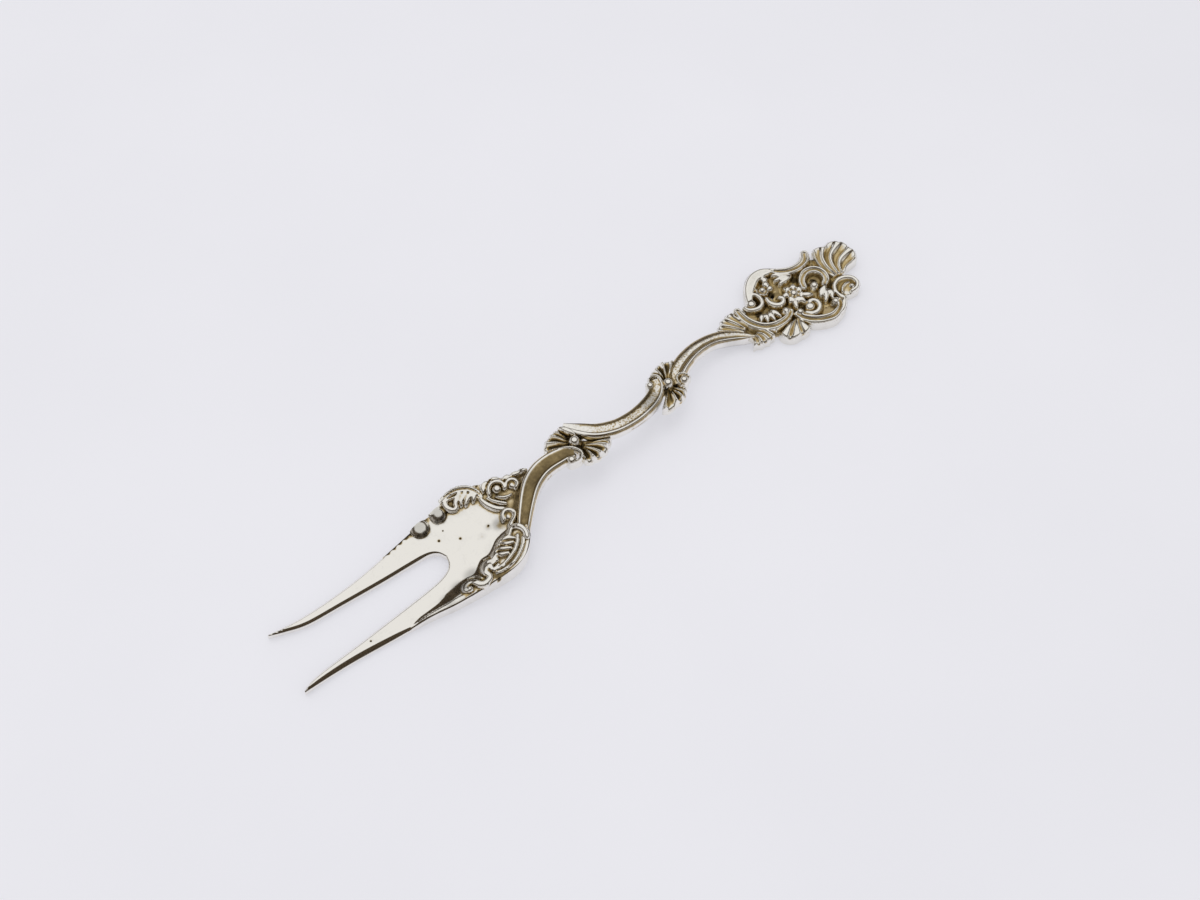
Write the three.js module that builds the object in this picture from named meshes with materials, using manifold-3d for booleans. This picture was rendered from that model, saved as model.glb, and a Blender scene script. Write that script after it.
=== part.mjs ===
// Rococo pickle fork in cast silver: two tines, three grooved stems, two knops and an openwork finial.
// It lies on its back: X runs from tines to finial, Y to the left tine, Z up through the chased face.
import * as THREE from "three";
import { mergeVertices } from "three/addons/utils/BufferGeometryUtils.js";
import { TessellateModifier } from "three/addons/modifiers/TessellateModifier.js";
import Module from "manifold-3d";

// Driving dimensions in millimetres
const SEAT_GAP = 0.08; // solder line between two castings
const SLOT_ROOT_X = -39.1;
const TINE_LENGTH = 37.3; // slot root to the right tip
const LEFT_TINE_SETBACK = 1.6; // the left tine is shorter by this
const BLADE_WALL = 1.6;
const BOWL_RISE = 1.2; // how far the shoulder rims stand above the blade's centre
const SHOULDER_DROP = 1.6; // how far the blade lies below the neck's ridges where they meet
const BLADE_RELIEF = 1.0; // height of the motifs on the blade
const STEM_WIDTH = 3.2;
const STEM_DEPTH = 2.7;
const STEM_GROOVE = 0.4;
const STEM_CHAMFER = 0.4;
const ARCH_HEIGHT = 8.6; // top of the stems above the table
const KNOP_RADIUS = 2.4;
const KNOP_DEPTH = 2.8;
const KNOP_BEAD_RADIUS = 0.95;
const FAN_DEPTH = 2.0;
const FINIAL_PLATE = 1.3;
const FINIAL_RELIEF = 1.5; // height of the scrolls on the finial
const LEAF_DROP = 0.2; // the finial's leaves and shells lie lower than its scrolls by this
const FLOWER_RADIUS = 2;
const WIDE_RAIL = 1.3;
const RAIL = 0.95;
const FINE_RAIL = 0.75;
const SMALL_BEAD_RADIUS = 0.6;
const FLUTE_CUT = 0.35; // depth of the valleys between flutes, as a share of the motif's height
const LOBE_NOTCH = 0.14; // depth of the notches between lobes, as a share of their length

const wasm = await Module();
wasm.setup();

// Surfaces that the pieces follow
function profile(stations) {
  const positions = stations.map((station) => station[0]);
  const values = stations.map((station) => station[1]);
  const curve = new THREE.CubicInterpolant(positions, values, 1);
  return (x) => curve.evaluate(x)[0];
}

const finialTop = FINIAL_PLATE + FINIAL_RELIEF;

const stemTop = profile([
  [-30, ARCH_HEIGHT - 4.2],
  [-20, ARCH_HEIGHT - 1.6],
  [-10, ARCH_HEIGHT - 0.2],
  [3, ARCH_HEIGHT],
  [17, ARCH_HEIGHT - 1],
  [30, ARCH_HEIGHT - 3],
  [40, finialTop + 0.7],
  [46, finialTop],
]);

const bladeCentre = profile([
  [-78, BLADE_WALL + 0.1],
  [-60, BLADE_WALL],
  [-44, BLADE_WALL],
  [-36, BLADE_WALL + 0.35],
  [-30, BLADE_WALL + 1.1],
  [-24, stemTop(-24) - SHOULDER_DROP],
  [-17, stemTop(-17) - SHOULDER_DROP],
]);

const bowlRise = profile([
  [-62, 0],
  [-50, 0.2 * BOWL_RISE],
  [-40, 0.55 * BOWL_RISE],
  [-30, BOWL_RISE],
  [-24, 0.6 * BOWL_RISE],
  [-18, 0],
]);

const BLADE_AXIS_Y = -3.5;
const BOWL_HALF_WIDTH = 9;
const BLADE_FACET = 4; // longest edge of the bent blade's facets

function bladeTop(x, y) {
  return bladeCentre(x) + bowlRise(x) * ((y - BLADE_AXIS_Y) / BOWL_HALF_WIDTH) ** 2;
}

const finialSeat = () => FINIAL_PLATE;

// Solids and booleans
function toSolid(geometry) {
  const bare = geometry.clone();
  bare.deleteAttribute("normal");
  bare.deleteAttribute("uv");
  const merged = mergeVertices(bare, 1e-4);
  return new wasm.Manifold(
    new wasm.Mesh({
      numProp: 3,
      vertProperties: new Float32Array(merged.attributes.position.array),
      triVerts: new Uint32Array(merged.index.array),
    }),
  );
}

function toGeometry(solid) {
  const mesh = solid.getMesh();
  const geometry = new THREE.BufferGeometry();
  geometry.setAttribute("position", new THREE.BufferAttribute(mesh.vertProperties, 3));
  geometry.setIndex(new THREE.BufferAttribute(mesh.triVerts, 1));
  geometry.computeVertexNormals();
  return geometry;
}

function meshFrom(points, triangles) {
  const geometry = new THREE.BufferGeometry();
  geometry.setAttribute("position", new THREE.Float32BufferAttribute(points.flat(), 3));
  geometry.setIndex(triangles.flat());
  return geometry;
}

// A section swept along a plan curve. section(t) lists [across, up] pairs, anticlockwise seen from the end.
function sweep(plan, steps, section, lift) {
  const path = new THREE.CatmullRomCurve3(plan.map(([x, y]) => new THREE.Vector3(x, y, 0)));
  const points = [];
  const triangles = [];
  const sides = section(0).length;
  for (let i = 0; i <= steps; i += 1) {
    const t = i / steps;
    const centre = path.getPointAt(t);
    const along = path.getTangentAt(t);
    for (const [across, up] of section(t)) {
      const x = centre.x - along.y * across;
      const y = centre.y + along.x * across;
      points.push([x, y, lift(x, y, centre) + up]);
    }
  }
  for (let i = 0; i < steps; i += 1) {
    for (let j = 0; j < sides; j += 1) {
      const near = i * sides + j;
      const beside = i * sides + ((j + 1) % sides);
      triangles.push([near, beside, near + sides], [beside, beside + sides, near + sides]);
    }
  }
  const outline = section(0).map(([across, up]) => new THREE.Vector2(across, up));
  const last = steps * sides;
  for (const [a, b, c] of THREE.ShapeUtils.triangulateShape(outline, [])) {
    triangles.push([a, c, b], [last + a, last + b, last + c]);
  }
  return meshFrom(points, triangles);
}

// A scroll: a domed rail that thins towards both ends and sits on a carrying surface
function rail(plan, width, height, seat, grow) {
  const steps = Math.max(8, 2 * plan.length);
  const section = (t) => {
    const taper = 0.7 + 0.3 * Math.sin(Math.PI * t);
    const half = (width * taper) / 2 + grow;
    const top = height * taper + grow;
    return [
      [-half, -grow],
      [half, -grow],
      [0.85 * half, 0.65 * top],
      [0, top],
      [-0.85 * half, 0.65 * top],
    ];
  };
  return sweep(plan, steps, section, (x, y) => seat(x, y) + SEAT_GAP);
}

// A grooved stem: widths[] follows the path, the top follows the arch of the fork
function stem(plan, widths, grow) {
  const spread = profile(widths.map((width, i) => [i / (widths.length - 1), width]));
  const section = (t) => {
    const half = (STEM_WIDTH * spread(t)) / 2 + grow;
    const low = -STEM_DEPTH - grow;
    return [
      [-0.5 * half, low],
      [0.5 * half, low],
      [half, 0.7 * low],
      [half, grow - STEM_CHAMFER],
      [0.72 * half, grow],
      [0, grow - STEM_GROOVE],
      [-0.72 * half, grow],
      [-half, grow - STEM_CHAMFER],
      [-half, 0.7 * low],
    ];
  };
  return sweep(plan, 2 * plan.length, section, (x, y, centre) => stemTop(centre.x));
}

// A fluted fan on a carrying surface, with one lobe for each tip. A closed fan is a whole flower.
function fan(centre, tips, height, seat, grow, closed = false) {
  const LOBE_SEGMENTS = 4;
  const RING_COUNT = 2;
  const arms = tips.map(([x, y]) => new THREE.Vector2(x - centre[0], y - centre[1]));
  const angles = arms.map((arm) => arm.angle());
  for (let i = 1; i < angles.length; i += 1) {
    while (angles[i] < angles[i - 1]) angles[i] += 2 * Math.PI;
  }
  const count = tips.length;
  const reach = arms.map((arm) => arm.length() + grow);
  const next = (i) => (closed ? (i + 1) % count : Math.min(i + 1, count - 1));
  const before = (i) => (closed ? (i + count - 1) % count : Math.max(i - 1, 0));
  const openGap = (i) => angles[Math.min(i + 1, count - 1)] - angles[Math.min(i, count - 2)];
  const gap = (i) => (closed ? (2 * Math.PI) / count : openGap(i));
  const rim = [];
  for (let i = 0; i < count; i += 1) {
    const lowGap = gap(Math.max(i - 1, 0));
    const highGap = gap(i);
    for (let k = 0; k < LOBE_SEGMENTS; k += 1) {
      const f = (2 * k) / LOBE_SEGMENTS - 1;
      const side = f < 0 ? before(i) : next(i);
      const valley = Math.min(reach[i], reach[side]) * (1 - LOBE_NOTCH);
      const angle = angles[i] + (f < 0 ? f * lowGap : f * highGap) / 2;
      const bulge = Math.cos((f * Math.PI) / 2);
      rim.push({ angle, radius: valley + (reach[i] - valley) * bulge, crest: 1 - FLUTE_CUT * (1 - bulge) });
    }
  }
  if (!closed) {
    const end = count - 1;
    rim.push({
      angle: angles[end] + gap(end) / 2,
      radius: reach[end] * (1 - LOBE_NOTCH),
      crest: 1 - FLUTE_CUT,
    });
  }
  const root = 0.28 * Math.min(...reach) - grow;
  const points = [];
  for (const level of [0, 1]) {
    for (const { angle, radius, crest } of rim) {
      for (let r = 0; r <= RING_COUNT; r += 1) {
        const distance = root + ((radius - root) * r) / RING_COUNT;
        const x = centre[0] + distance * Math.cos(angle);
        const y = centre[1] + distance * Math.sin(angle);
        const swell = 0.75 + 0.25 * Math.sin((Math.PI * r) / RING_COUNT);
        const up = level === 1 ? height * crest * swell + grow : -grow;
        points.push([x, y, seat(x, y) + SEAT_GAP + up]);
      }
    }
  }
  const row = RING_COUNT + 1;
  const layer = rim.length * row;
  const at = (level, i, r) => level * layer + (i % rim.length) * row + r;
  const triangles = [];
  const wall = (a, b, c, d) => triangles.push([a, b, d], [a, d, c]);
  const spans = closed ? rim.length : rim.length - 1;
  for (let i = 0; i < spans; i += 1) {
    for (let r = 0; r < RING_COUNT; r += 1) {
      wall(at(1, i, r), at(1, i, r + 1), at(1, i + 1, r), at(1, i + 1, r + 1));
      wall(at(0, i, r), at(0, i + 1, r), at(0, i, r + 1), at(0, i + 1, r + 1));
    }
    wall(at(0, i, RING_COUNT), at(0, i + 1, RING_COUNT), at(1, i, RING_COUNT), at(1, i + 1, RING_COUNT));
    wall(at(0, i + 1, 0), at(0, i, 0), at(1, i + 1, 0), at(1, i, 0));
  }
  if (!closed) {
    const end = rim.length - 1;
    for (let r = 0; r < RING_COUNT; r += 1) {
      wall(at(0, 0, r), at(0, 0, r + 1), at(1, 0, r), at(1, 0, r + 1));
      wall(at(0, end, r + 1), at(0, end, r), at(1, end, r + 1), at(1, end, r));
    }
  }
  return meshFrom(points, triangles);
}

// A bead: a sphere pressed flat below its middle
function bead(centre, radius, seat, grow) {
  const geometry = new THREE.SphereGeometry(radius + grow, 10, 6);
  geometry.rotateX(Math.PI / 2);
  const position = geometry.attributes.position;
  for (let i = 0; i < position.count; i += 1) {
    const x = centre[0] + position.getX(i);
    const y = centre[1] + position.getY(i);
    const up = Math.max(position.getZ(i), 0) - grow * (position.getZ(i) < 0);
    position.setXYZ(i, x, y, seat(x, y) + SEAT_GAP + up);
  }
  return geometry;
}

// A plate with a smooth outline, bent so that its two faces follow the given heights.
// Its corners lie on a fine binary grid, so that halved edges stay exact on both sides.
const GRID_HALVINGS = 12;

function plate(outline, holes, longestEdge, top, bottom) {
  const cells = 2 ** GRID_HALVINGS;
  const onGrid = (value) => Math.round(value * cells) / cells;
  const shape = new THREE.Shape(outline.map(({ x, y }) => new THREE.Vector2(onGrid(x), onGrid(y))));
  shape.holes = holes;
  let geometry = new THREE.ExtrudeGeometry(shape, { depth: 1, bevelEnabled: false, curveSegments: 6 });
  if (longestEdge) geometry = new TessellateModifier(longestEdge, 30).modify(geometry);
  const position = geometry.attributes.position;
  for (let i = 0; i < position.count; i += 1) {
    const x = position.getX(i);
    const y = position.getY(i);
    position.setZ(i, position.getZ(i) > 0.5 ? top(x, y) : bottom(x, y));
  }
  return geometry;
}

// Base castings
const tineX = (share, setback) => SLOT_ROOT_X - share * (TINE_LENGTH - setback);

function bladeOutline() {
  const left = (share, y) => new THREE.Vector2(tineX(share, LEFT_TINE_SETBACK), y);
  const right = (share, y) => new THREE.Vector2(tineX(share, 0), y);
  const at = (x, y) => new THREE.Vector2(x, y);
  const leftOuter = new THREE.SplineCurve([
    at(-16.6, 0.6), at(-19.6, 1.5), at(-22, 2.8), at(-24, 4.3), at(-26.2, 5.8), at(-28.6, 6.9),
    at(-31.6, 7.2), left(0.03, 6.3), left(0.25, 5.6), left(0.5, 5.1), left(0.75, 5.4), left(0.9, 6.1),
    left(1, 6.9),
  ]);
  const leftInner = new THREE.SplineCurve([
    left(1, 6.5), left(0.92, 5.2), left(0.8, 3.6), left(0.6, 2.6), left(0.35, 1.4), left(0.15, 0.6),
    at(SLOT_ROOT_X - 2.2, 0.1), at(SLOT_ROOT_X - 0.7, -0.9), at(SLOT_ROOT_X, -2.5),
  ]);
  const rightInner = new THREE.SplineCurve([
    at(SLOT_ROOT_X, -2.5), at(SLOT_ROOT_X - 0.7, -4.1), at(SLOT_ROOT_X - 2.2, -5.1), right(0.15, -5.6),
    right(0.35, -5.8), right(0.6, -5.95), right(0.85, -6), right(0.95, -6.4), right(1, -7.2),
  ]);
  const rightOuter = new THREE.SplineCurve([
    right(1, -7.5), right(0.85, -7.8), right(0.7, -8.4), right(0.5, -9.6), right(0.3, -10.9),
    right(0.13, -12.5), at(-36, -13.9), at(-31.8, -14.5), at(-29, -14.1), at(-26.8, -12.9), at(-25, -11.2),
  ]);
  const neckSide = [at(-23.2, -8.2), at(-20.6, -5), at(-17, -2)];
  return [
    ...leftOuter.getSpacedPoints(24),
    ...leftInner.getSpacedPoints(20),
    ...rightInner.getSpacedPoints(20).slice(1),
    ...rightOuter.getSpacedPoints(24),
    ...neckSide,
  ];
}

const NECK = [
  [-25.3, -9.1], [-23.2, -7], [-21, -5.1], [-19, -3.8], [-17, -2.8], [-15, -2.3], [-13, -2.2],
  [-11, -2.5], [-7.6, -3.3],
];
const NECK_WIDTHS = [0.9, 0.95, 1, 1.1, 1.15, 1.15, 1];
const MIDDLE_STEM = [
  [-4.3, 1.1], [-3, -1.2], [-1.2, -3.1], [1, -4.3], [3.5, -5.1], [7, -5.5], [10.5, -5.2], [13.4, -4.5],
  [15.6, -3.3],
  [16.6, -1.6],
];
const MIDDLE_WIDTHS = [0.6, 0.95, 1.05, 1.05, 1.05, 1, 0.75];
const UPPER_STEM = [
  [19.8, -5], [20.9, -3.4], [22.6, -2.2], [25, -1.2], [28, -0.4], [31, -0.1], [34, -0.3], [36.6, -1.1],
  [39, -2.5],
  [41.8, -4.8],
];
const UPPER_WIDTHS = [0.7, 0.95, 0.9, 0.75, 0.75, 0.8, 0.75];
const LOWER_KNOP = [-6.4, -2];
const UPPER_KNOP = [18.3, -3.2];
const KNOP_DROP = 0.5; // how far a knop's top lies below the stems' ridges

// A round knop, or the room that it takes from its neighbours: wider all round, taller at both faces
function knop(centre, wider, taller) {
  const radius = KNOP_RADIUS + wider;
  const top = stemTop(centre[0]) - KNOP_DROP;
  const round = new THREE.EllipseCurve(centre[0], centre[1], radius, radius);
  const rim = round.getSpacedPoints(20).slice(0, -1);
  return toSolid(plate(rim, [], 0, () => top + taller, () => top - KNOP_DEPTH - taller));
}

function finialOutline() {
  const rim = [
    [42.4, 0.6], [44.4, 1.5], [46.8, 1.8], [48.8, 3.8], [51.2, 5.9], [54, 6.7], [57.2, 6.2],
    [59.2, 3.9], [62.2, 2.3],
    [65.2, 3.2], [67.8, 2], [70.6, 1.4], [72.6, 0.2], [72.8, -1.8], [71.4, -3.6], [68.9, -4.9],
    [68.3, -7.4], [66.8, -8.7],
    [64.4, -8.8], [62.6, -10.6], [59.8, -11.9], [56.8, -11.4], [54, -10.2], [51, -9.8], [48.6, -8.2],
    [46, -6.6],
    [43.8, -5.6], [42.4, -3.6],
  ];
  const curve = new THREE.CatmullRomCurve3(rim.map(([x, y]) => new THREE.Vector3(x, y, 0)), true);
  return curve.getSpacedPoints(64).slice(0, -1).map((point) => new THREE.Vector2(point.x, point.y));
}

const PIERCINGS = [
  [53.2, 1.3, 0.5, 1.5],
  [60, 1.2, 1, 0.4],
  [65, 0.9, 0.8, 0.4],
  [47.6, -0.6, 1.1, 0.4],
  [59.4, -7.6, 0.45, 1.2],
  [62.6, -2, 0.7, 0.7],
];

function finialPiercings() {
  return PIERCINGS.map(([x, y, halfLength, halfWidth]) => {
    const rim = new THREE.EllipseCurve(x, y, halfLength, halfWidth);
    return new THREE.Path(rim.getSpacedPoints(10).slice(0, -1));
  });
}

// Motifs: each maker takes the extra size it needs to cut its own clearance out of a neighbour
const onBlade = {
  rail: (width, plan) => (grow) => rail(plan, width, BLADE_RELIEF, bladeTop, grow),
  fan: (centre, tips) => (grow) => fan(centre, tips, BLADE_RELIEF, bladeTop, grow),
  bead: (centre, radius) => (grow) => bead(centre, radius, bladeTop, grow),
};

const LEAF_RELIEF = FINIAL_RELIEF - LEAF_DROP;

const onFinial = {
  rail: (width, plan) => (grow) => rail(plan, width, FINIAL_RELIEF, finialSeat, grow),
  fan: (centre, tips, closed) => (grow) => fan(centre, tips, LEAF_RELIEF, finialSeat, grow, closed),
  bead: (centre, radius) => (grow) => bead(centre, radius, finialSeat, grow),
};

const collarSeat = (x) => Math.max(FINIAL_PLATE, stemTop(x) - FAN_DEPTH);

const onCollar = {
  fan: (centre, tips) => (grow) => fan(centre, tips, LEAF_RELIEF, collarSeat, grow),
};

const knopSeat = (knopCentre, drop) => () => stemTop(knopCentre[0]) - drop;

const onKnop = {
  fan: (knopCentre, centre, tips) => {
    const seat = knopSeat(knopCentre, FAN_DEPTH);
    return (grow) => fan(centre, tips, FAN_DEPTH, seat, grow);
  },
  bead: (knopCentre) => (grow) => bead(knopCentre, KNOP_BEAD_RADIUS, knopSeat(knopCentre, KNOP_DROP), grow),
};

const onStem = {
  curl: (plan) => (grow) => rail(plan, RAIL, BLADE_RELIEF, stemTop, grow),
};

function petals(centre, count, radius) {
  return Array.from({ length: count }, (_, i) => {
    const angle = (2 * Math.PI * i) / count;
    return [centre[0] + radius * Math.cos(angle), centre[1] + radius * Math.sin(angle)];
  });
}

const FLOWER = [56.5, -1.8];
const ROSETTE = [-23.8, 1.4];

const bladeMotifs = {
  left_tine_scroll: onBlade.rail(RAIL, [
    [-41, 5.3], [-40.8, 4.4], [-40.1, 3.75], [-39.3, 3.6], [-38.5, 4], [-38.15, 4.8], [-38.4, 5.6],
  ]),
  left_border_scroll: onBlade.rail(RAIL, [
    [-36.2, 5.6], [-36.1, 4.6], [-35.5, 3.85], [-34.8, 3.7], [-34.1, 4.1], [-33.8, 4.9], [-34.2, 5.7],
  ]),
  left_shoulder_scroll: onBlade.rail(RAIL, [
    [-33, 6.3], [-31, 6.5], [-29, 6.1], [-27.5, 5.1], [-26.7, 3.8], [-26.4, 2.6],
  ]),
  rosette_bead: onBlade.bead(ROSETTE, SMALL_BEAD_RADIUS),
  rosette_scroll: onBlade.rail(FINE_RAIL, [
    [-25.2, 0.9], [-25, 2.2], [-23.9, 2.8], [-22.8, 2.2], [-22.5, 1.1], [-23.2, 0.1],
  ]),
  crown_scroll: onBlade.rail(RAIL, [
    [-26.8, 1.9], [-26.7, 0.7], [-26.4, -0.7], [-25.7, -2], [-24.8, -2.8],
  ]),
  crown_curl: onBlade.rail(FINE_RAIL, [
    [-21.9, -1.6], [-21.9, -0.7], [-21.2, 0], [-20.3, -0.1], [-19.8, -0.9],
  ]),
  crown_leaf: onBlade.fan([-21.2, 0.7], [[-17.9, -0.7], [-17.5, 0.1], [-17.9, 0.9]]),
  crown_frond: onBlade.fan([-25.3, 0], [[-24.2, -2.4], [-23.2, -1.6], [-22.8, -0.7]]),
  centre_curl: onBlade.rail(FINE_RAIL, [
    [-26.2, -5.3], [-26.3, -4.4], [-25.6, -3.7], [-24.8, -3.9], [-24.5, -4.7], [-24.9, -5.5],
  ]),
  left_acanthus: onBlade.fan([-28.1, 5.1], [[-32.1, 4.6], [-31.3, 3], [-29.8, 2.1], [-28.2, 1.8]]),
  right_rim_rail: onBlade.rail(RAIL, [
    [-52, -10.3], [-48.5, -11.1], [-45, -11.9], [-42, -12.6], [-39.7, -13.1],
  ]),
  right_tine_scroll: onBlade.rail(FINE_RAIL, [
    [-40.7, -12], [-41.1, -11.5], [-40.8, -10.7], [-39.9, -10.4], [-39, -10.8], [-38.6, -11.8],
    [-38.1, -12.7], [-37.1, -12.9],
  ]),
  right_shoulder_scroll: onBlade.rail(WIDE_RAIL, [
    [-27, -7.6], [-26, -8.4], [-25.7, -9.6], [-26.2, -11.1], [-27.6, -12.5], [-29.6, -13.3],
    [-32, -13.5], [-34.2, -13.1],
  ]),
  right_border_scroll: onBlade.rail(FINE_RAIL, [
    [-34.4, -11.6], [-35.4, -11.6], [-36, -10.9], [-35.7, -10], [-34.8, -9.6], [-33.9, -10],
    [-33.6, -10.9],
  ]),
  right_inner_rail: onBlade.rail(FINE_RAIL, [
    [-27.2, -9.4], [-27.5, -10.7], [-28.9, -11.7], [-30.8, -12.1], [-32.8, -12.1],
  ]),
  right_acanthus: onBlade.fan([-28.4, -10.2], [
    [-28.4, -6.6], [-29.9, -6.9], [-31.3, -7.8], [-32.3, -9.1],
  ]),
};

const knopMotifs = {
  lower_bead: onKnop.bead(LOWER_KNOP),
  upper_bead: onKnop.bead(UPPER_KNOP),
  lower_left_fan: onKnop.fan(LOWER_KNOP, [-6.6, -1.4], [
    [-5.6, 2.3], [-7.3, 2.2], [-9, 1.6], [-10.5, 0.6],
  ]),
  lower_right_fan: onKnop.fan(LOWER_KNOP, [-5.4, -3.2], [
    [-6.4, -6.7], [-5, -7.7], [-3.2, -7.6], [-1.6, -6.6],
  ]),
  upper_left_fan: onKnop.fan(UPPER_KNOP, [18.5, -2.9], [
    [21.6, 0.3], [20.1, 0.9], [18.5, 0.7], [17.3, 0.2],
  ]),
  upper_right_fan: onKnop.fan(UPPER_KNOP, [17.8, -3.8], [
    [14, -7.1], [15.3, -7.7], [17, -7.9], [18.7, -7.2],
  ]),
  neck_curl: onStem.curl([[-9.6, -4.6], [-9.7, -3.7], [-8.9, -3.1], [-8.2, -3.3], [-7.9, -4.2]]),
  middle_curl: onStem.curl([[14.7, -2.9], [15.2, -2.3], [15.9, -2.2], [16.5, -2.9], [16.3, -3.7]]),
  upper_curl: onStem.curl([[20.1, -4.7], [20.3, -3.9], [21, -3.5], [21.7, -3.8], [21.9, -4.5]]),
};

const finialMotifs = {
  collar_fan: onCollar.fan([42.4, -1.9], [[42, 2.6], [40.4, 2.6], [38.9, 1.9], [37.6, 1.1]]),
  collar_leaf: onFinial.fan([43.4, -4.4], [[41.6, -7], [43.2, -7.6], [45, -7.8], [46.6, -7.2]]),
  lower_c_scroll: onFinial.rail(WIDE_RAIL, [
    [44.1, 2.2], [43.9, 0.4], [44.3, -1.5], [45.3, -3.6], [46.8, -5.2], [48.8, -6], [50.9, -5.9],
    [52.4, -5.1],
  ]),
  volute_bead: onFinial.bead([48.5, 1.9], SMALL_BEAD_RADIUS),
  left_volute: onFinial.rail(RAIL, [
    [50.3, 3], [50.3, 1.5], [49.4, 0.5], [47.9, 0.4], [47, 1.3], [47.1, 2.5],
  ]),
  left_inner_curl: onFinial.rail(FINE_RAIL, [
    [51.4, 0.6], [50.9, -0.6], [51.4, -1.8], [52.6, -2.3], [53.8, -1.9],
  ]),
  lower_leaf: onFinial.fan([48.9, -0.9], [[46.3, -3.3], [47.6, -4.2], [49.2, -4.4], [50.8, -4]]),
  left_bulge: onFinial.rail(WIDE_RAIL, [
    [48.4, 3.7], [49.8, 5.2], [51.4, 6.5], [53.2, 7.2], [55.4, 7.3], [57.6, 6.9],
  ]),
  left_bead: onFinial.bead([52.2, 3.4], SMALL_BEAD_RADIUS),
  tongue_leaf: onFinial.fan([53.9, 2.4], [[55.3, 4.9], [54.3, 5.6], [53.2, 5.3]]),
  crest_left_scroll: onFinial.rail(WIDE_RAIL, [
    [58, 5.6], [58.9, 4.2], [60.4, 3.1], [62.2, 2.5], [64.2, 2.8], [66.2, 4],
  ]),
  small_shell: onFinial.fan([58.6, 1.7], [[57.3, 4.6], [56.2, 4.1], [55.6, 3.1]]),
  upper_inner_scroll: onFinial.rail(RAIL, [
    [61.6, -3.1], [60.7, -2.3], [60.7, -1], [61.6, 0.1], [63, 0.3], [64.4, -0.4], [65.1, -1.8],
    [64.7, -3.4], [63.4, -4.4],
    [61.9, -4.6],
  ]),
  crest_right_curl: onFinial.rail(RAIL, [
    [63.6, -9.2], [63.5, -7.6], [64.2, -6.2], [65.6, -5.5], [67.2, -5.6], [68.5, -6.6], [68.8, -8],
    [68, -9.2], [66.6, -9.2],
  ]),
  crest_shell: onFinial.fan([67.2, -3.2], [
    [74.1, -3.7], [75.1, -0.9], [74.6, 1.8], [72, 2.9], [68.9, 3],
  ]),
  flower_bead: onFinial.bead(FLOWER, SMALL_BEAD_RADIUS),
  flower: onFinial.fan(FLOWER, petals(FLOWER, 6, FLOWER_RADIUS), true),
  flower_leaf: onFinial.fan([57.6, -3.2], [[54.8, -5], [56.6, -5.6], [58.6, -5.6], [60.2, -4.8]]),
  right_c_scroll: onFinial.rail(WIDE_RAIL, [
    [53, -7.2], [53.6, -9], [55, -10.8], [57.2, -12], [59.4, -12.4], [61.3, -11.9], [62.5, -10.6],
    [62.2, -9.4], [61.2, -9.2],
  ]),
  right_c_rail: onFinial.rail(FINE_RAIL, [
    [54.8, -8.8], [56, -9.9], [57.6, -10.6], [59.2, -10.7], [60.6, -10.2],
  ]),
  right_inner_scroll: onFinial.rail(RAIL, [
    [54.8, -7.2], [55.9, -8.3], [57.3, -8.5], [58.3, -7.8], [58.2, -6.6],
  ]),
  right_bead: onFinial.bead([53.6, -6.1], SMALL_BEAD_RADIUS),
  ragged_leaf: onFinial.fan([62.3, -6], [[60.4, -6.6], [60.6, -7.8], [61.6, -8.4]]),
  bottom_shell: onFinial.fan([52.1, -7.6], [[47.8, -8.9], [48.8, -10.4], [50.4, -11.3], [52.2, -11.4]]),
};

// Colours of the bright castings and of the deeper, tarnished motifs
const SILVER = { color: 0xcfccc4, roughness: 0.22, metalness: 1 };
const TARNISHED = { color: 0x8f8468, roughness: 0.35, metalness: 1 };

function named(name, geometry, look) {
  const mesh = new THREE.Mesh(geometry, new THREE.MeshStandardMaterial(look));
  mesh.name = name;
  return mesh;
}

// Cuts each motif clear of the castings and of the motifs placed before it
function place(motifs, carriers) {
  const taken = [...carriers];
  return Object.entries(motifs).map(([name, make]) => {
    const solid = taken.reduce((rest, cutter) => rest.subtract(cutter), toSolid(make(0)));
    taken.push(toSolid(make(SEAT_GAP)));
    return named(name, toGeometry(solid), TARNISHED);
  });
}

function castings() {
  const knops = [LOWER_KNOP, UPPER_KNOP];
  const [lowerKnop, upperKnop] = knops.map((centre) => knop(centre, 0, 0));
  const [lowerCut, upperCut] = knops.map((centre) => knop(centre, SEAT_GAP, SEAT_GAP));
  const [lowerRoom, upperRoom] = knops.map((centre) => knop(centre, SEAT_GAP, STEM_DEPTH));
  const neck = toSolid(stem(NECK, NECK_WIDTHS, 0)).subtract(lowerRoom);
  const middleStem = toSolid(stem(MIDDLE_STEM, MIDDLE_WIDTHS, 0)).subtract(lowerRoom).subtract(upperRoom);
  const upperStem = toSolid(stem(UPPER_STEM, UPPER_WIDTHS, 0)).subtract(upperRoom);
  const neckCut = toSolid(stem(NECK, NECK_WIDTHS, SEAT_GAP));
  const middleCut = toSolid(stem(MIDDLE_STEM, MIDDLE_WIDTHS, SEAT_GAP));
  const upperStemCut = toSolid(stem(UPPER_STEM, UPPER_WIDTHS, SEAT_GAP));
  const underside = (x) => Math.max(bladeCentre(x) - BLADE_WALL, 0);
  const blade = toSolid(plate(bladeOutline(), [], BLADE_FACET, bladeTop, underside)).subtract(neckCut);
  const back = plate(finialOutline(), finialPiercings(), 0, finialSeat, () => 0);
  const frame = toSolid(back).subtract(upperStemCut);
  const solids = { blade, neck, lower_knop: lowerKnop, middle_stem: middleStem, upper_knop: upperKnop };
  Object.assign(solids, { upper_stem: upperStem, finial_frame: frame });
  const knopCuts = [lowerCut, upperCut, neckCut, middleCut, upperStemCut];
  return { solids, neckCut, knopCuts, upperStemCut };
}

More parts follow.
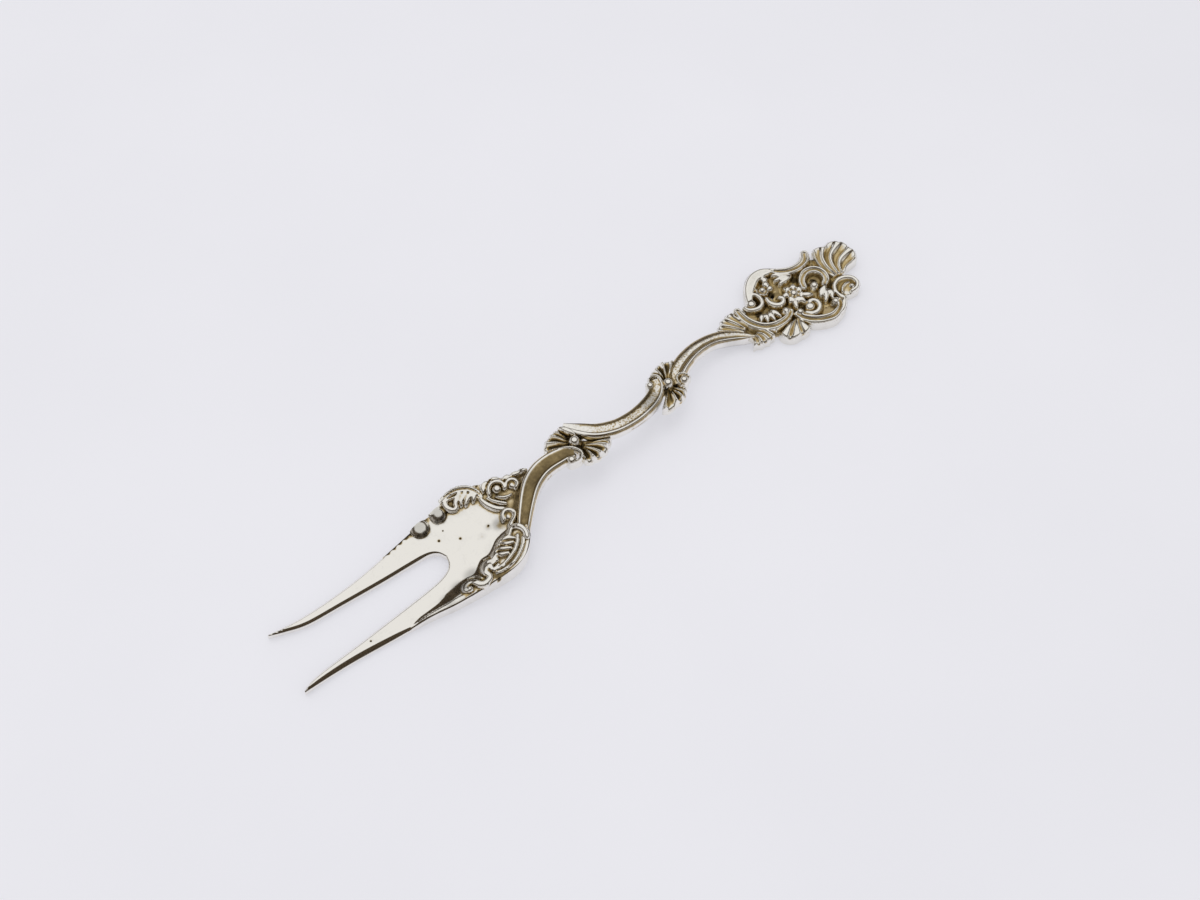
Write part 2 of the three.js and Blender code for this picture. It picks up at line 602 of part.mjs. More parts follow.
// The whole fork, with its origin under the middle of its bounding box
function buildFork() {
  const base = castings();
  const group = new THREE.Group();
  for (const [name, solid] of Object.entries(base.solids)) {
    group.add(named(name, toGeometry(solid), SILVER));
  }
  group.add(...place(bladeMotifs, [base.neckCut]));
  group.add(...place(knopMotifs, base.knopCuts));
  group.add(...place(finialMotifs, [base.upperStemCut]));
  const box = new THREE.Box3().setFromObject(group);
  const centre = box.getCenter(new THREE.Vector3());
  group.position.set(-centre.x, -centre.y, -box.min.z);
  return group;
}

export default buildFork();
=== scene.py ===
"""Looks of the rococo pickle fork: cast, chased and polished silver with tarnish in its recesses."""

import math

import bmesh
import bpy
import numpy as np
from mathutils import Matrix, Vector
from mathutils.geometry import delaunay_2d_cdt


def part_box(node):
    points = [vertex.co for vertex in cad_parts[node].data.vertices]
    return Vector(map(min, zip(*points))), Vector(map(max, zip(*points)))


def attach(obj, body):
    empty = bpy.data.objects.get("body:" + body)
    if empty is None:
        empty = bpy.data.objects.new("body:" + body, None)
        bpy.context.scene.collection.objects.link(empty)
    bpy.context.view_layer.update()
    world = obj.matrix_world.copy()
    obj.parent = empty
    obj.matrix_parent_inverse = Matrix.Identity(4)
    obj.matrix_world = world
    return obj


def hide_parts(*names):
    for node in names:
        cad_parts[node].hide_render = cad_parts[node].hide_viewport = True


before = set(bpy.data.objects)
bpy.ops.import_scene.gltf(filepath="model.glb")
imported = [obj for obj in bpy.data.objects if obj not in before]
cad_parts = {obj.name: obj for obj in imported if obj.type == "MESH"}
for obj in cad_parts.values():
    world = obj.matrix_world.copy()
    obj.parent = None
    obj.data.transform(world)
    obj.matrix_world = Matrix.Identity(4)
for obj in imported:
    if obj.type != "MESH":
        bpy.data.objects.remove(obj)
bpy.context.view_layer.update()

# Lengths below are in millimetres on the fork's drawing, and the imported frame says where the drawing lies
MM = 0.001
UPPER_KNOP = np.array([18.3, -3.2])
LOWER_KNOP = np.array([-6.4, -2.0])
knop_low, knop_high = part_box("upper_knop")
DRAWING_SHIFT = np.array((knop_low + knop_high)[:2]) / 2 / MM - UPPER_KNOP

PLATE_TOP = 1.3
BLADE_WALL = 1.6
STEM_DEPTH = 2.7
ARCH_HEIGHT = 8.6
FLOOR_GAP = 0.02
BOWL_CENTRE = -3.5
BOWL_HALF_WIDTH = 9
SPAN_STEPS = 24
LEAST_STEPS = 8
SECTION_STEPS = 3
SMALL = 1e-6


# Curves and heights
def run_of(points):
    """Length along a line of points, from its start to each of them."""
    return np.concatenate([[0], np.cumsum(np.linalg.norm(np.diff(points, axis=0), axis=1))])


def full_turn(count):
    """Evenly spaced angles round a circle."""
    return np.linspace(0, 2 * math.pi, count, endpoint=False)


def oval(x, y, a, b, angle):
    return np.column_stack([x + a * np.cos(angle), y + b * np.sin(angle)])


def curve(points, spacing):
    """Evenly spaced points on a smooth curve through the given ones."""
    p = np.array(points, float)
    q = np.vstack([2 * p[0] - p[1], p, 2 * p[-1] - p[-2]])
    t = np.linspace(0, 1, SPAN_STEPS, endpoint=False)[:, None]
    runs = []
    for a, b, c, d in zip(q[:-3], q[1:-2], q[2:-1], q[3:]):
        bend = (2 * a - 5 * b + 4 * c - d) * t**2 + (3 * b - a - 3 * c + d) * t**3
        runs.append(b + 0.5 * ((c - a) * t + bend))
    fine = np.vstack(runs + [p[-1:]])
    run = run_of(fine)
    count = max(int(round(run[-1] / spacing)), LEAST_STEPS)
    at = np.linspace(0, run[-1], count + 1)
    return np.column_stack([np.interp(at, run, fine[:, k]) for k in range(p.shape[1])])


def profile(stations):
    """A smooth function through (position, value) stations."""
    x, v = np.array(stations, float).T
    slope = np.empty_like(v)
    slope[1:-1] = (v[2:] - v[:-2]) / (x[2:] - x[:-2])
    slope[0] = 1.5 * (v[1] - v[0]) / (x[1] - x[0]) - 0.5 * slope[1]
    slope[-1] = 1.5 * (v[-1] - v[-2]) / (x[-1] - x[-2]) - 0.5 * slope[-2]

    def value(at):
        at = np.clip(at, x[0], x[-1])
        i = np.clip(np.searchsorted(x, at) - 1, 0, len(x) - 2)
        span = x[i + 1] - x[i]
        s = (at - x[i]) / span
        low = v[i] * (1 + 2 * s) * (1 - s) ** 2 + slope[i] * span * s * (1 - s) ** 2
        return low + v[i + 1] * s * s * (3 - 2 * s) + slope[i + 1] * span * s * s * (s - 1)

    return value


finial_top = PLATE_TOP + 1.5
stem_top = profile([
    (-30, ARCH_HEIGHT - 4.2), (-20, ARCH_HEIGHT - 1.6), (-10, ARCH_HEIGHT - 0.2), (3, ARCH_HEIGHT),
    (17, ARCH_HEIGHT - 1), (30, ARCH_HEIGHT - 3), (40, finial_top + 0.7), (46, finial_top),
])
blade_centre = profile([
    (-78, BLADE_WALL + 0.1), (-60, BLADE_WALL), (-44, BLADE_WALL), (-36, BLADE_WALL + 0.35),
    (-30, BLADE_WALL + 1.1), (-24, stem_top(-24) - 1.6), (-17, stem_top(-17) - 1.6),
])
bowl_rise = profile([(-62, 0), (-50, 0.24), (-40, 0.66), (-30, 1.2), (-24, 0.72), (-18, 0)])


def blade_field(x, y):
    return blade_centre(x) + bowl_rise(x) * ((y - BOWL_CENTRE) / BOWL_HALF_WIDTH) ** 2


def smoothstep(low, high, value):
    s = np.clip((value - low) / (high - low), 0, 1)
    return s * s * (3 - 2 * s)


SOFT = 1
CRISP = 2


def round_stains(x, y, places, fall):
    """The strongest of several round marks, each given by its place, radius and strength: stains, pits,
    painted highlight and painted shade.
    """
    marks = []
    for px, py, radius, strength in places:
        away = ((x - px) ** 2 + (y - py) ** 2) / radius**2
        marks.append(strength * np.exp(-away**fall))
    return np.max(marks, axis=0)


# Shells: each builder returns (points, faces, paint), and paint holds tarnish and matting for each point
def tube(rings, paint):
    """A closed skin through a row of rings, with a point at the middle of each end."""
    count, sides = rings.shape[:2]
    points = np.vstack([rings.reshape(-1, 3), rings[0].mean(0), rings[-1].mean(0)])
    i, j = np.meshgrid(np.arange(count - 1), np.arange(sides), indexing="ij")
    a = (i * sides + j).ravel()
    b = (i * sides + (j + 1) % sides).ravel()
    faces = np.column_stack([a, a + sides, b + sides, b]).tolist()
    j = np.arange(sides)
    k = (j + 1) % sides
    last = (count - 1) * sides
    pole = count * sides
    faces += np.column_stack([np.full(sides, pole), j, k]).tolist()
    faces += np.column_stack([np.full(sides, pole + 1), last + k, last + j]).tolist()
    paint = np.broadcast_to(paint, (count, sides, 2)).reshape(-1, 2)
    return points, faces, np.vstack([paint, np.zeros((2, 2))])


def frame_of(plan, spacing):
    """Centre points, left-hand normals, curvature and run of a plan curve."""
    centre = curve(plan, spacing)
    along = np.gradient(centre, axis=0)
    speed = np.linalg.norm(along, axis=1, keepdims=True)
    along /= speed
    left = np.column_stack([-along[:, 1], along[:, 0]])
    turn = np.gradient(np.unwrap(np.arctan2(along[:, 1], along[:, 0])))
    return centre, left, turn / speed[:, 0], run_of(centre)


BEND_LIMIT = 0.92


def across(half, share, bend):
    """Offset from the centre line, kept short of the centre of a tight bend."""
    offset = half[:, None] * share[None, :]
    limit = BEND_LIMIT / np.maximum(np.abs(bend), SMALL)[:, None]
    inner = offset * bend[:, None] > 0
    return np.where(inner, np.clip(offset, -limit, limit), offset)


def section(stations):
    """(across, height, tarnish, matting) stations from the right edge to the left one, refined and eased."""
    s = np.array([tuple(station) + (0,) * (4 - len(station)) for station in stations], float)
    at = np.linspace(0, len(s) - 1, SECTION_STEPS * (len(s) - 1) + 1)
    fine = np.column_stack([np.interp(at, np.arange(len(s)), s[:, k]) for k in range(4)])
    eased = fine.copy()
    eased[1:-1] = 0.25 * fine[:-2] + 0.5 * fine[1:-1] + 0.25 * fine[2:]
    return eased


def along_run(values, t):
    """A smooth run of evenly spaced values."""
    return profile(list(zip(np.linspace(0, 1, len(values)), values)))(t)


# Motifs of the relief: each is a function of plan points that gives height and distance inside its outline
RAIL = np.array([(0, 1), (0.55, 0.985), (0.75, 0.93), (0.88, 0.75), (1, 0.3)])
CHANNEL = np.array([(0, 0.55), (0.16, 0.6), (0.34, 0.88), (0.44, 1), (0.8, 0.99), (0.92, 0.8), (1, 0.4)])
REEDED = np.array([(0, 1), (0.2, 1), (0.34, 0.4), (0.52, 0.4), (0.66, 1), (0.86, 0.95), (1, 0.4)])
ROUND_WIDTHS = (0.82, 0.96, 1, 0.96, 0.82)
ROUND_HEIGHTS = (0.85, 0.97, 1, 0.97, 0.85)
LOBE_WIDTHS = (0.6, 0.95, 1, 0.9, 0.65)
SKIRT = 1.8
MOTIF_SPACING = 0.07
LEAF_EDGE = 0.3
EDGE_DROP = 0.55
SCALLOP_POINTS = 12
FLUTE_WALL = 0.27
FLUTE_END = 0.75
LOBE_WALL = 0.3
FULL_HEIGHT = 0.6
FAN_SHARES = (0.4, 0.7, 1)


def rail(plan, width, height, shape=RAIL, widths=ROUND_WIDTHS, heights=ROUND_HEIGHTS):
    """A rail along a plan curve, with round ends."""
    centre = curve(plan, MOTIF_SPACING)
    t = np.linspace(0, 1, len(centre))
    half = width / 2 * along_run(widths, t)
    rise = height * along_run(heights, t)

    def lift(spots):
        k, gap = closest(spots, centre)
        away = gap / half[k]
        top = rise[k] * np.interp(away, shape[:, 0], shape[:, 1])
        return top - SKIRT * np.maximum(gap - half[k], 0), half[k] - gap

    return lift, centre.min(0) - half.max(), centre.max(0) + half.max()


def closest(spots, line):
    """The nearest point of a line of points, and how far it is."""
    gap = np.linalg.norm(spots[:, None] - line[None], axis=2)
    k = gap.argmin(1)
    return k, gap[np.arange(len(spots)), k]


def leaf(ridges, cup, height, bulge=0.22, root=0.6, ridge=0.1, closed=0):
    """A leaf between ridge curves. A positive cup hollows its flutes, and closed fills their outer ends."""
    lines = [curve(stations, MOTIF_SPACING) for stations in ridges]
    rim = list(lines[0])
    for first, second in zip(lines, lines[1:]):
        s = np.linspace(0, 1, SCALLOP_POINTS)[1:, None]
        side = second[-1] - first[-1]
        out = (first[-1] - first[0]) + (second[-1] - second[0])
        out = out / np.linalg.norm(out) * np.linalg.norm(side)
        rim += list(first[-1] + side * s + out * bulge * 4 * s * (1 - s))
    rim += list(lines[-1][-2::-1])
    rim = np.array(rim)

    def lift(spots):
        found = [closest(spots, line) for line in lines]
        gaps = np.array([gap for _, gap in found])
        shares = np.array([k / (len(line) - 1) for (k, _), line in zip(found, lines)])
        order = gaps.argsort(0)
        pick = np.arange(len(spots))
        near, far = gaps[order[0], pick], gaps[order[1], pick]
        s = near / np.maximum(near + far, SMALL)
        r = shares[order[0], pick] * (1 - s) + shares[order[1], pick] * s
        if cup > 0:
            filled = closed * smoothstep(FLUTE_END, 1, r)
            flute = 1 - cup * smoothstep(ridge, ridge + FLUTE_WALL, s) * (1 - filled)
        else:
            flute = 1 + cup * (1 - smoothstep(0, LOBE_WALL, s))
        within = nearest(spots, rim)[0] * np.where(inside(spots, rim), 1, -1)
        shoulder = 1 - EDGE_DROP * np.clip(1 - within / LEAF_EDGE, 0, 1) ** 2
        swell = root + (1 - root) * np.sin(np.clip(r / FULL_HEIGHT, 0, 1) * math.pi / 2)
        return height * flute * swell * shoulder - SKIRT * np.maximum(-within, 0), within

    return lift, rim.min(0), rim.max(0)


def bead(centre, radius, height, foot=0.62, fall=0.5):
    """A round boss. foot is the share of its height that stands upright. A fall of 1 makes it a low dome."""
    middle = np.array(centre, float)

    def lift(spots):
        gap = np.linalg.norm(spots - middle, axis=1)
        top = height * (foot + (1 - foot) * np.maximum(1 - (gap / radius) ** 2, 0) ** fall)
        return top - SKIRT * np.maximum(gap - radius, 0), radius - gap

    return lift, middle - radius, middle + radius


def fingers(width, height, plans):
    """Several leaf lobes of one width."""
    return [rail(plan, width, height, widths=LOBE_WIDTHS) for plan in plans]


# The motifs of one zone are cast together, so that they flow into one another, and then parted into pieces
CELL = 0.125
EASE = 0.13
CAVITY = 0.5
WALL_LINES = (0.2, 0.4)
OVERHANG = 0.07
ZONE_MARGIN = 2
MOTIF_MARGIN = 0.6
NOWHERE = -9.0
LEAST_SLOPE = 0.2
LARGEST_STEP = 1.2 * CELL


def blurred(values, sigma):
    reach = int(3 * sigma / CELL) + 1
    steps = np.arange(-reach, reach + 1)
    weights = np.exp(-0.5 * (steps * CELL / sigma) ** 2)
    weights /= weights.sum()
    for axis in (0, 1):
        values = sum(weight * np.roll(values, step, axis) for step, weight in zip(steps, weights))
    return values


def relief(motifs, seat, base, ground, margin, gold, depth):
    """Pieces of one zone. margin spreads them, gold tarnishes level faces and depth darkens hollows."""
    parts = [(index, *part) for index, name in enumerate(motifs) for part in motifs[name]]
    low = np.min([part[2] for part in parts], axis=0) - ZONE_MARGIN
    high = np.max([part[3] for part in parts], axis=0) + ZONE_MARGIN
    xs = np.arange(low[0], high[0], CELL)
    ys = np.arange(low[1], high[1], CELL)
    x, y = np.meshgrid(xs, ys, indexing="ij")
    reach = np.full(x.shape, NOWHERE)
    owner = np.full(x.shape, -1)
    best = np.full(x.shape, NOWHERE)
    for index, lift, start, stop in parts:
        i = slice(*np.searchsorted(xs, (start[0] - MOTIF_MARGIN, stop[0] + MOTIF_MARGIN)))
        j = slice(*np.searchsorted(ys, (start[1] - MOTIF_MARGIN, stop[1] + MOTIF_MARGIN)))
        height, within = lift(np.column_stack([x[i, j].ravel(), y[i, j].ravel()]))
        height = height.reshape(x[i, j].shape)
        wins = height > best[i, j]
        owner[i, j] = np.where(wins, index, owner[i, j])
        best[i, j] = np.maximum(best[i, j], height)
        reach[i, j] = np.maximum(reach[i, j], within.reshape(height.shape))
    top = blurred(np.maximum(best, ground), EASE)
    tarnish = np.clip(gold(x, y) + depth * (blurred(top, CAVITY) - top), 0, 1)
    reach = margin(x, y, reach)
    keep = reach > 0
    slope = np.array(np.gradient(reach, CELL))
    shifts = [(a, b) for a in (-1, 0, 1) for b in (-1, 0, 1)]
    fringe = keep & ~np.all([np.roll(keep, shift, (0, 1)) for shift in shifts], axis=0)
    step = np.where(fringe, reach / np.maximum((slope**2).sum(0), LEAST_SLOPE), 0) * slope
    step = np.clip(step, -LARGEST_STEP, LARGEST_STEP)
    x, y = x - step[0], y - step[1]
    upper = np.column_stack([x.ravel(), y.ravel(), (seat(x, y) + top).ravel()])
    lower = np.column_stack([x.ravel(), y.ravel(), base(x, y).ravel()])
    number = np.arange(x.size).reshape(x.shape)
    cells = np.stack([number[:-1, :-1], number[1:, :-1], number[1:, 1:], number[:-1, 1:]], 2)
    whole = keep[:-1, :-1] & keep[1:, :-1] & keep[1:, 1:] & keep[:-1, 1:]
    for index, name in enumerate(motifs):
        faces = cells[whole & (owner[:-1, :-1] == index)]
        used = np.unique(faces)
        faces = np.searchsorted(used, faces)
        pieces[name] = slab(upper[used], lower[used], faces, tarnish.ravel()[used])


def narrow(x, y, reach):
    return reach + OVERHANG


def even(amount):
    return lambda x, y: np.full_like(x, amount)


def slab(upper, lower, faces, tarnish):
    """A closed skin from a sheet and its copy lower down. Lines on the wall keep tarnish near the rim."""
    count = len(upper)
    turned = np.roll(faces, -1, axis=1)
    sides = np.vstack([np.column_stack([faces[:, k], turned[:, k]]) for k in range(faces.shape[1])])
    _, at, seen = np.unique(np.sort(sides, axis=1), axis=0, return_index=True, return_counts=True)
    border = sides[at[seen == 1]]
    rim = np.unique(border)
    points = [upper, lower]
    rows = [border]
    for number, share in enumerate(WALL_LINES):
        points.append(upper[rim] + (lower[rim] - upper[rim]) * share)
        rows.append(2 * count + number * len(rim) + np.searchsorted(rim, border))
    rows.append(border + count)
    walls = [np.column_stack([high[:, ::-1], low]) for high, low in zip(rows, rows[1:])]
    points = np.vstack(points)
    paint = np.zeros((len(points), 2))
    paint[:count, 0] = tarnish
    return points, faces.tolist() + (faces[:, ::-1] + count).tolist() + np.vstack(walls).tolist(), paint


# Plates with a bevelled rim, meshed between rings of points that follow their outline
CHUNK = 2000
TINY = 1e-12
FAR = 1e9
MESH_SLACK = 1e-5
BEVEL_SHARES = (0.14, 0.34, 0.6, 0.86, 1.0, 1.25, 1.8)
RING_SLACK = 0.93
FIELD_START = 2.1
ROW_SHARE = 0.866
BEVEL_POWER = 1.15
SPIRAL_POINTS = 16


def nearest(points, rim):
    """Distance of each point to the rim, and the nearest rim corner."""
    a, b = rim, np.roll(rim, -1, axis=0)
    side = b - a
    size = np.maximum((side**2).sum(1), TINY)
    best = np.full(len(points), FAR)
    where = np.zeros(len(points), int)
    for start in range(0, len(points), CHUNK):
        rows = slice(start, start + CHUNK)
        part = points[rows]
        away = part[:, None] - a[None]
        s = np.clip((away * side[None]).sum(2) / size, 0, 1)
        gap = np.linalg.norm(away - s[:, :, None] * side[None], axis=2)
        k = gap.argmin(1)
        best[rows] = gap[np.arange(len(part)), k]
        where[rows] = np.where(s[np.arange(len(part)), k] > 0.5, (k + 1) % len(rim), k)
    return best, where


def inside(points, loop):
    """Which points lie inside a loop."""
    a, b = loop, np.roll(loop, -1, axis=0)
    x, y = points[:, :1], points[:, 1:]
    spans = (a[:, 1] > y) != (b[:, 1] > y)
    fall = b[:, 1] - a[:, 1]
    fall = np.where(np.abs(fall) < TINY, TINY, fall)
    cross = a[:, 0] + (y - a[:, 1]) / fall * (b[:, 0] - a[:, 0])
    return ((spans & (x < cross)).sum(1) % 2) == 1


def depth_inside(x, y, loop):
    """How far points lie inside a loop, and 0 for those outside it."""
    spots = np.column_stack([np.ravel(x), np.ravel(y)])
    return np.where(inside(spots, loop), nearest(spots, loop)[0], 0).reshape(np.shape(x))


def plate(loops, bevels, top, bottom, spacing, extra=()):
    """A plate with the given loops, outline first. top and bottom take x, y, rim distance and bevel."""
    rim = np.vstack(loops)
    bevel = np.concatenate(bevels)
    nodes = [rim]
    edges = []
    lengths = [len(loop) for loop in loops]
    starts = np.cumsum([0] + lengths[:-1])
    for loop, width, start in zip(loops, bevels, starts):
        index = start + np.arange(len(loop))
        edges += list(zip(index.tolist(), np.roll(index, -1).tolist()))
        along = np.roll(loop, -1, axis=0) - np.roll(loop, 1, axis=0)
        along /= np.linalg.norm(along, axis=1, keepdims=True)
        inward = np.column_stack([-along[:, 1], along[:, 0]])
        for share in BEVEL_SHARES:
            ring = loop + inward * (share * width)[:, None]
            gap = np.min([nearest(ring, other)[0] for other in loops], axis=0)
            nodes.append(ring[gap > RING_SLACK * share * width])
    low, high = rim.min(0), rim.max(0)
    steps = np.arange(low[0], high[0], spacing)
    rows = np.arange(low[1], high[1], spacing * ROW_SHARE)
    hexes = np.vstack([np.column_stack([steps + (k % 2) * spacing / 2, np.full(len(steps), y)])
                       for k, y in enumerate(rows)])
    gaps = [nearest(hexes, loop) for loop in loops]
    reach = np.min([gap - FIELD_START * width[at] for (gap, at), width in zip(gaps, bevels)], axis=0)
    nodes.append(hexes[reach > 0])
    nodes += list(extra)
    flat = [Vector(p) for p in np.vstack(nodes)]
    outline = [list(range(lengths[0]))]
    spots, _, triangles, _, _, _ = delaunay_2d_cdt(flat, edges, outline, 0, MESH_SLACK)
    spots = np.array(spots)[:, :2]
    triangles = np.array(triangles)
    middle = spots[triangles].mean(1)
    keep = inside(middle, loops[0])
    for hole in loops[1:]:
        keep &= ~inside(middle, hole)
    triangles = triangles[keep]
    used = np.unique(triangles)
    remap = np.full(len(spots), -1)
    remap[used] = np.arange(len(used))
    spots = spots[used]
    triangles = remap[triangles]
    each = [nearest(spots, loop) for loop in loops]
    gap = np.min([g for g, _ in each], axis=0)
    pick = np.argmin([g for g, _ in each], axis=0)
    at = np.choose(pick, [a + s for (_, a), s in zip(each, starts)])
    x, y = spots.T
    upper = np.column_stack([x, y, top(x, y, gap, bevel[at])])
    lower = np.column_stack([x, y, bottom(x, y, gap, bevel[at])])
    return slab(upper, lower, triangles, 0)


def bevel_loss(gap, width, steepness):
    """Height lost near a rim."""
    return steepness * width * np.maximum(1 - gap / width, 0) ** BEVEL_POWER


def fan_ridges(centre, tips, start):
    """Straight ridges that spread from a centre."""
    c = np.array(centre, float)
    return [[c + (np.array(tip) - c) * s for s in (start, *FAN_SHARES)] for tip in tips]


def spiral(centre, start, turns, radius, end):
    """A plan curve that winds inwards round a centre."""
    s = np.linspace(0, 1, SPIRAL_POINTS)
    angle = math.radians(start) + s * turns * 2 * math.pi
    r = radius + (end - radius) * s
    return [(centre[0] + a * math.cos(b), centre[1] + a * math.sin(b)) for a, b in zip(r, angle)]


# Blade, whose right-hand border stands above the plain field
SLOT_ROOT = -39.1
RIGHT_TINE = 37.3
LEFT_TINE = RIGHT_TINE - 1.6
RIM_SPACING = 0.22
BLADE_SPACING = 0.42
BLADE_BEVEL = 0.85
UNDER_BEVEL = 0.35
MOTIF_ROOT = 0.5
BORDER_RISE = 0.75
BORDER_SPACING = 0.4
BORDER_FADE = (-55.5, -47.5)
border_slope = profile([(-54, 0.35), (-52, 0.75), (-50, 1.2), (-48, 1.7), (-46, 2.2), (-42, 2.9), (-38, 2.4),
                        (-34, 2.0), (-24, 1.7)])
BORDER = [(-58.5, -9.35), (-54.5, -9.9), (-51.6, -9.4), (-48, -9.45), (-45.8, -9.2), (-44.4, -8.7),
          (-42.4, -8.5), (-40.4, -8.5), (-39, -8.8), (-37.8, -9.2), (-36.6, -8.6), (-35.4, -7.9),
          (-34.4, -7.7), (-33, -7.9), (-31.6, -7.3), (-30, -6.5), (-28.6, -6.4), (-25, -6), (-20, -1),
          (0, 10)]
BORDER_LOOP = np.vstack([curve(BORDER, BORDER_SPACING), [(0, -60), (-70, -60)]])
LEFT_EDGE = 6.2
LEFT_EDGE_END = -33.3
PITS = [(-38.1, 1.0, 0.30), (-34.7, -1.4, 0.27), (-36.2, 2.1, 0.16), (-29.1, -3.2, 0.24), (-61, -7.2, 0.2)]
PIT_DEPTH = 0.22
PIT_NARROWING = 1.6
PIT_RINGS = (0.25, 0.5, 0.75, 1.0, 1.3)
PIT_TURNS = 16


def blade_top(x, y):
    slope = np.clip(depth_inside(x, y, BORDER_LOOP) / border_slope(x), 0, 1)
    return blade_field(x, y) + BORDER_RISE * smoothstep(*BORDER_FADE, x) * slope


def in_blade(x, y):
    return blade_field(x, y) - MOTIF_ROOT


def tine(length, stations):
    return [(SLOT_ROOT - share * length, y) for share, y in stations]


def blade_loop():
    """Outline of the blade, anticlockwise, and the bevel width at each corner."""
    left_outer = [(-16.6, 0.2), (-19.6, 0.9), (-22, 2), (-24, 3.5), (-25.8, 4.9), (-28.6, 5.8), (-31.6, 6.4),
                  (-35, 6.3)]
    left_outer += tine(LEFT_TINE, [(0.03, 6.1), (0.25, 5.55), (0.5, 5.1), (0.75, 5.4), (0.9, 6.1), (1, 6.8)])
    left_inner = tine(LEFT_TINE, [(1, 6.55), (0.92, 5.2), (0.8, 3.6), (0.6, 2.6), (0.35, 1.4), (0.15, 0.6)])
    left_inner += [(SLOT_ROOT - 2.2, 0.1), (SLOT_ROOT - 0.7, -0.9), (SLOT_ROOT, -2.5)]
    right_inner = [(SLOT_ROOT, -2.5), (SLOT_ROOT - 0.7, -4.1), (SLOT_ROOT - 2.2, -5.1)]
    right_inner += tine(RIGHT_TINE, [(0.15, -5.6), (0.35, -5.8), (0.6, -5.95), (0.85, -6), (0.95, -6.4),
                                     (1, -7.2)])
    right_outer = tine(RIGHT_TINE, [(1, -7.45), (0.85, -7.8), (0.7, -8.4), (0.5, -9.6), (0.3, -10.9),
                                    (0.13, -12.5)])
    right_outer += [(-36, -13.9), (-31.8, -14.5), (-29, -14.1), (-26.8, -12.9), (-25, -11.2)]
    neck = [(-25, -11.2), (-23.2, -8.2), (-20.6, -5), (-17, -2), (-16.6, 0.2)]
    wide = profile([(-77, 0.35), (-72, 0.75), (-64, 0.95), (-57, 0.8), (-52, 0.4), (-46, 0.32), (-16, 0.32)])
    slim = profile([(-77, 0.3), (-72, 0.55), (-60, 0.62), (-44, 0.6), (-41.2, 0.42), (-38.8, 0.14)])
    plain = profile([(-77, 0.3), (-70, 0.5), (-50, 0.45), (-44, 0.3), (-16, 0.28)])
    points, bevels = [], []
    for stations, bevel in ((left_outer, plain), (left_inner, slim), (right_inner, slim), (right_outer, wide),
                            (neck, plain)):
        run = curve(stations, RIM_SPACING)[:-1]
        points.append(run)
        bevels.append(bevel(run[:, 0]))
    return np.vstack(points), np.concatenate(bevels)


def blade():
    loop, width = blade_loop()

    def top(x, y, gap, bevel):
        z = blade_top(x, y) - bevel_loss(gap, bevel, BLADE_BEVEL)
        for px, py, radius in PITS:
            z = z - round_stains(x, y, [(px, py, radius / PIT_NARROWING, PIT_DEPTH)], SOFT)
        return z

    def bottom(x, y, gap, bevel):
        return np.maximum(blade_centre(x) - BLADE_WALL, 0) + FLOOR_GAP + bevel_loss(gap, bevel, UNDER_BEVEL)

    rings = []
    for px, py, radius in PITS:
        for share in PIT_RINGS:
            away = radius * share
            rings.append(oval(px, py, away, away, full_turn(PIT_TURNS) + share))
    return plate([loop], [width], top, bottom, BLADE_SPACING, rings)


pieces = {}
pieces["blade"] = blade()
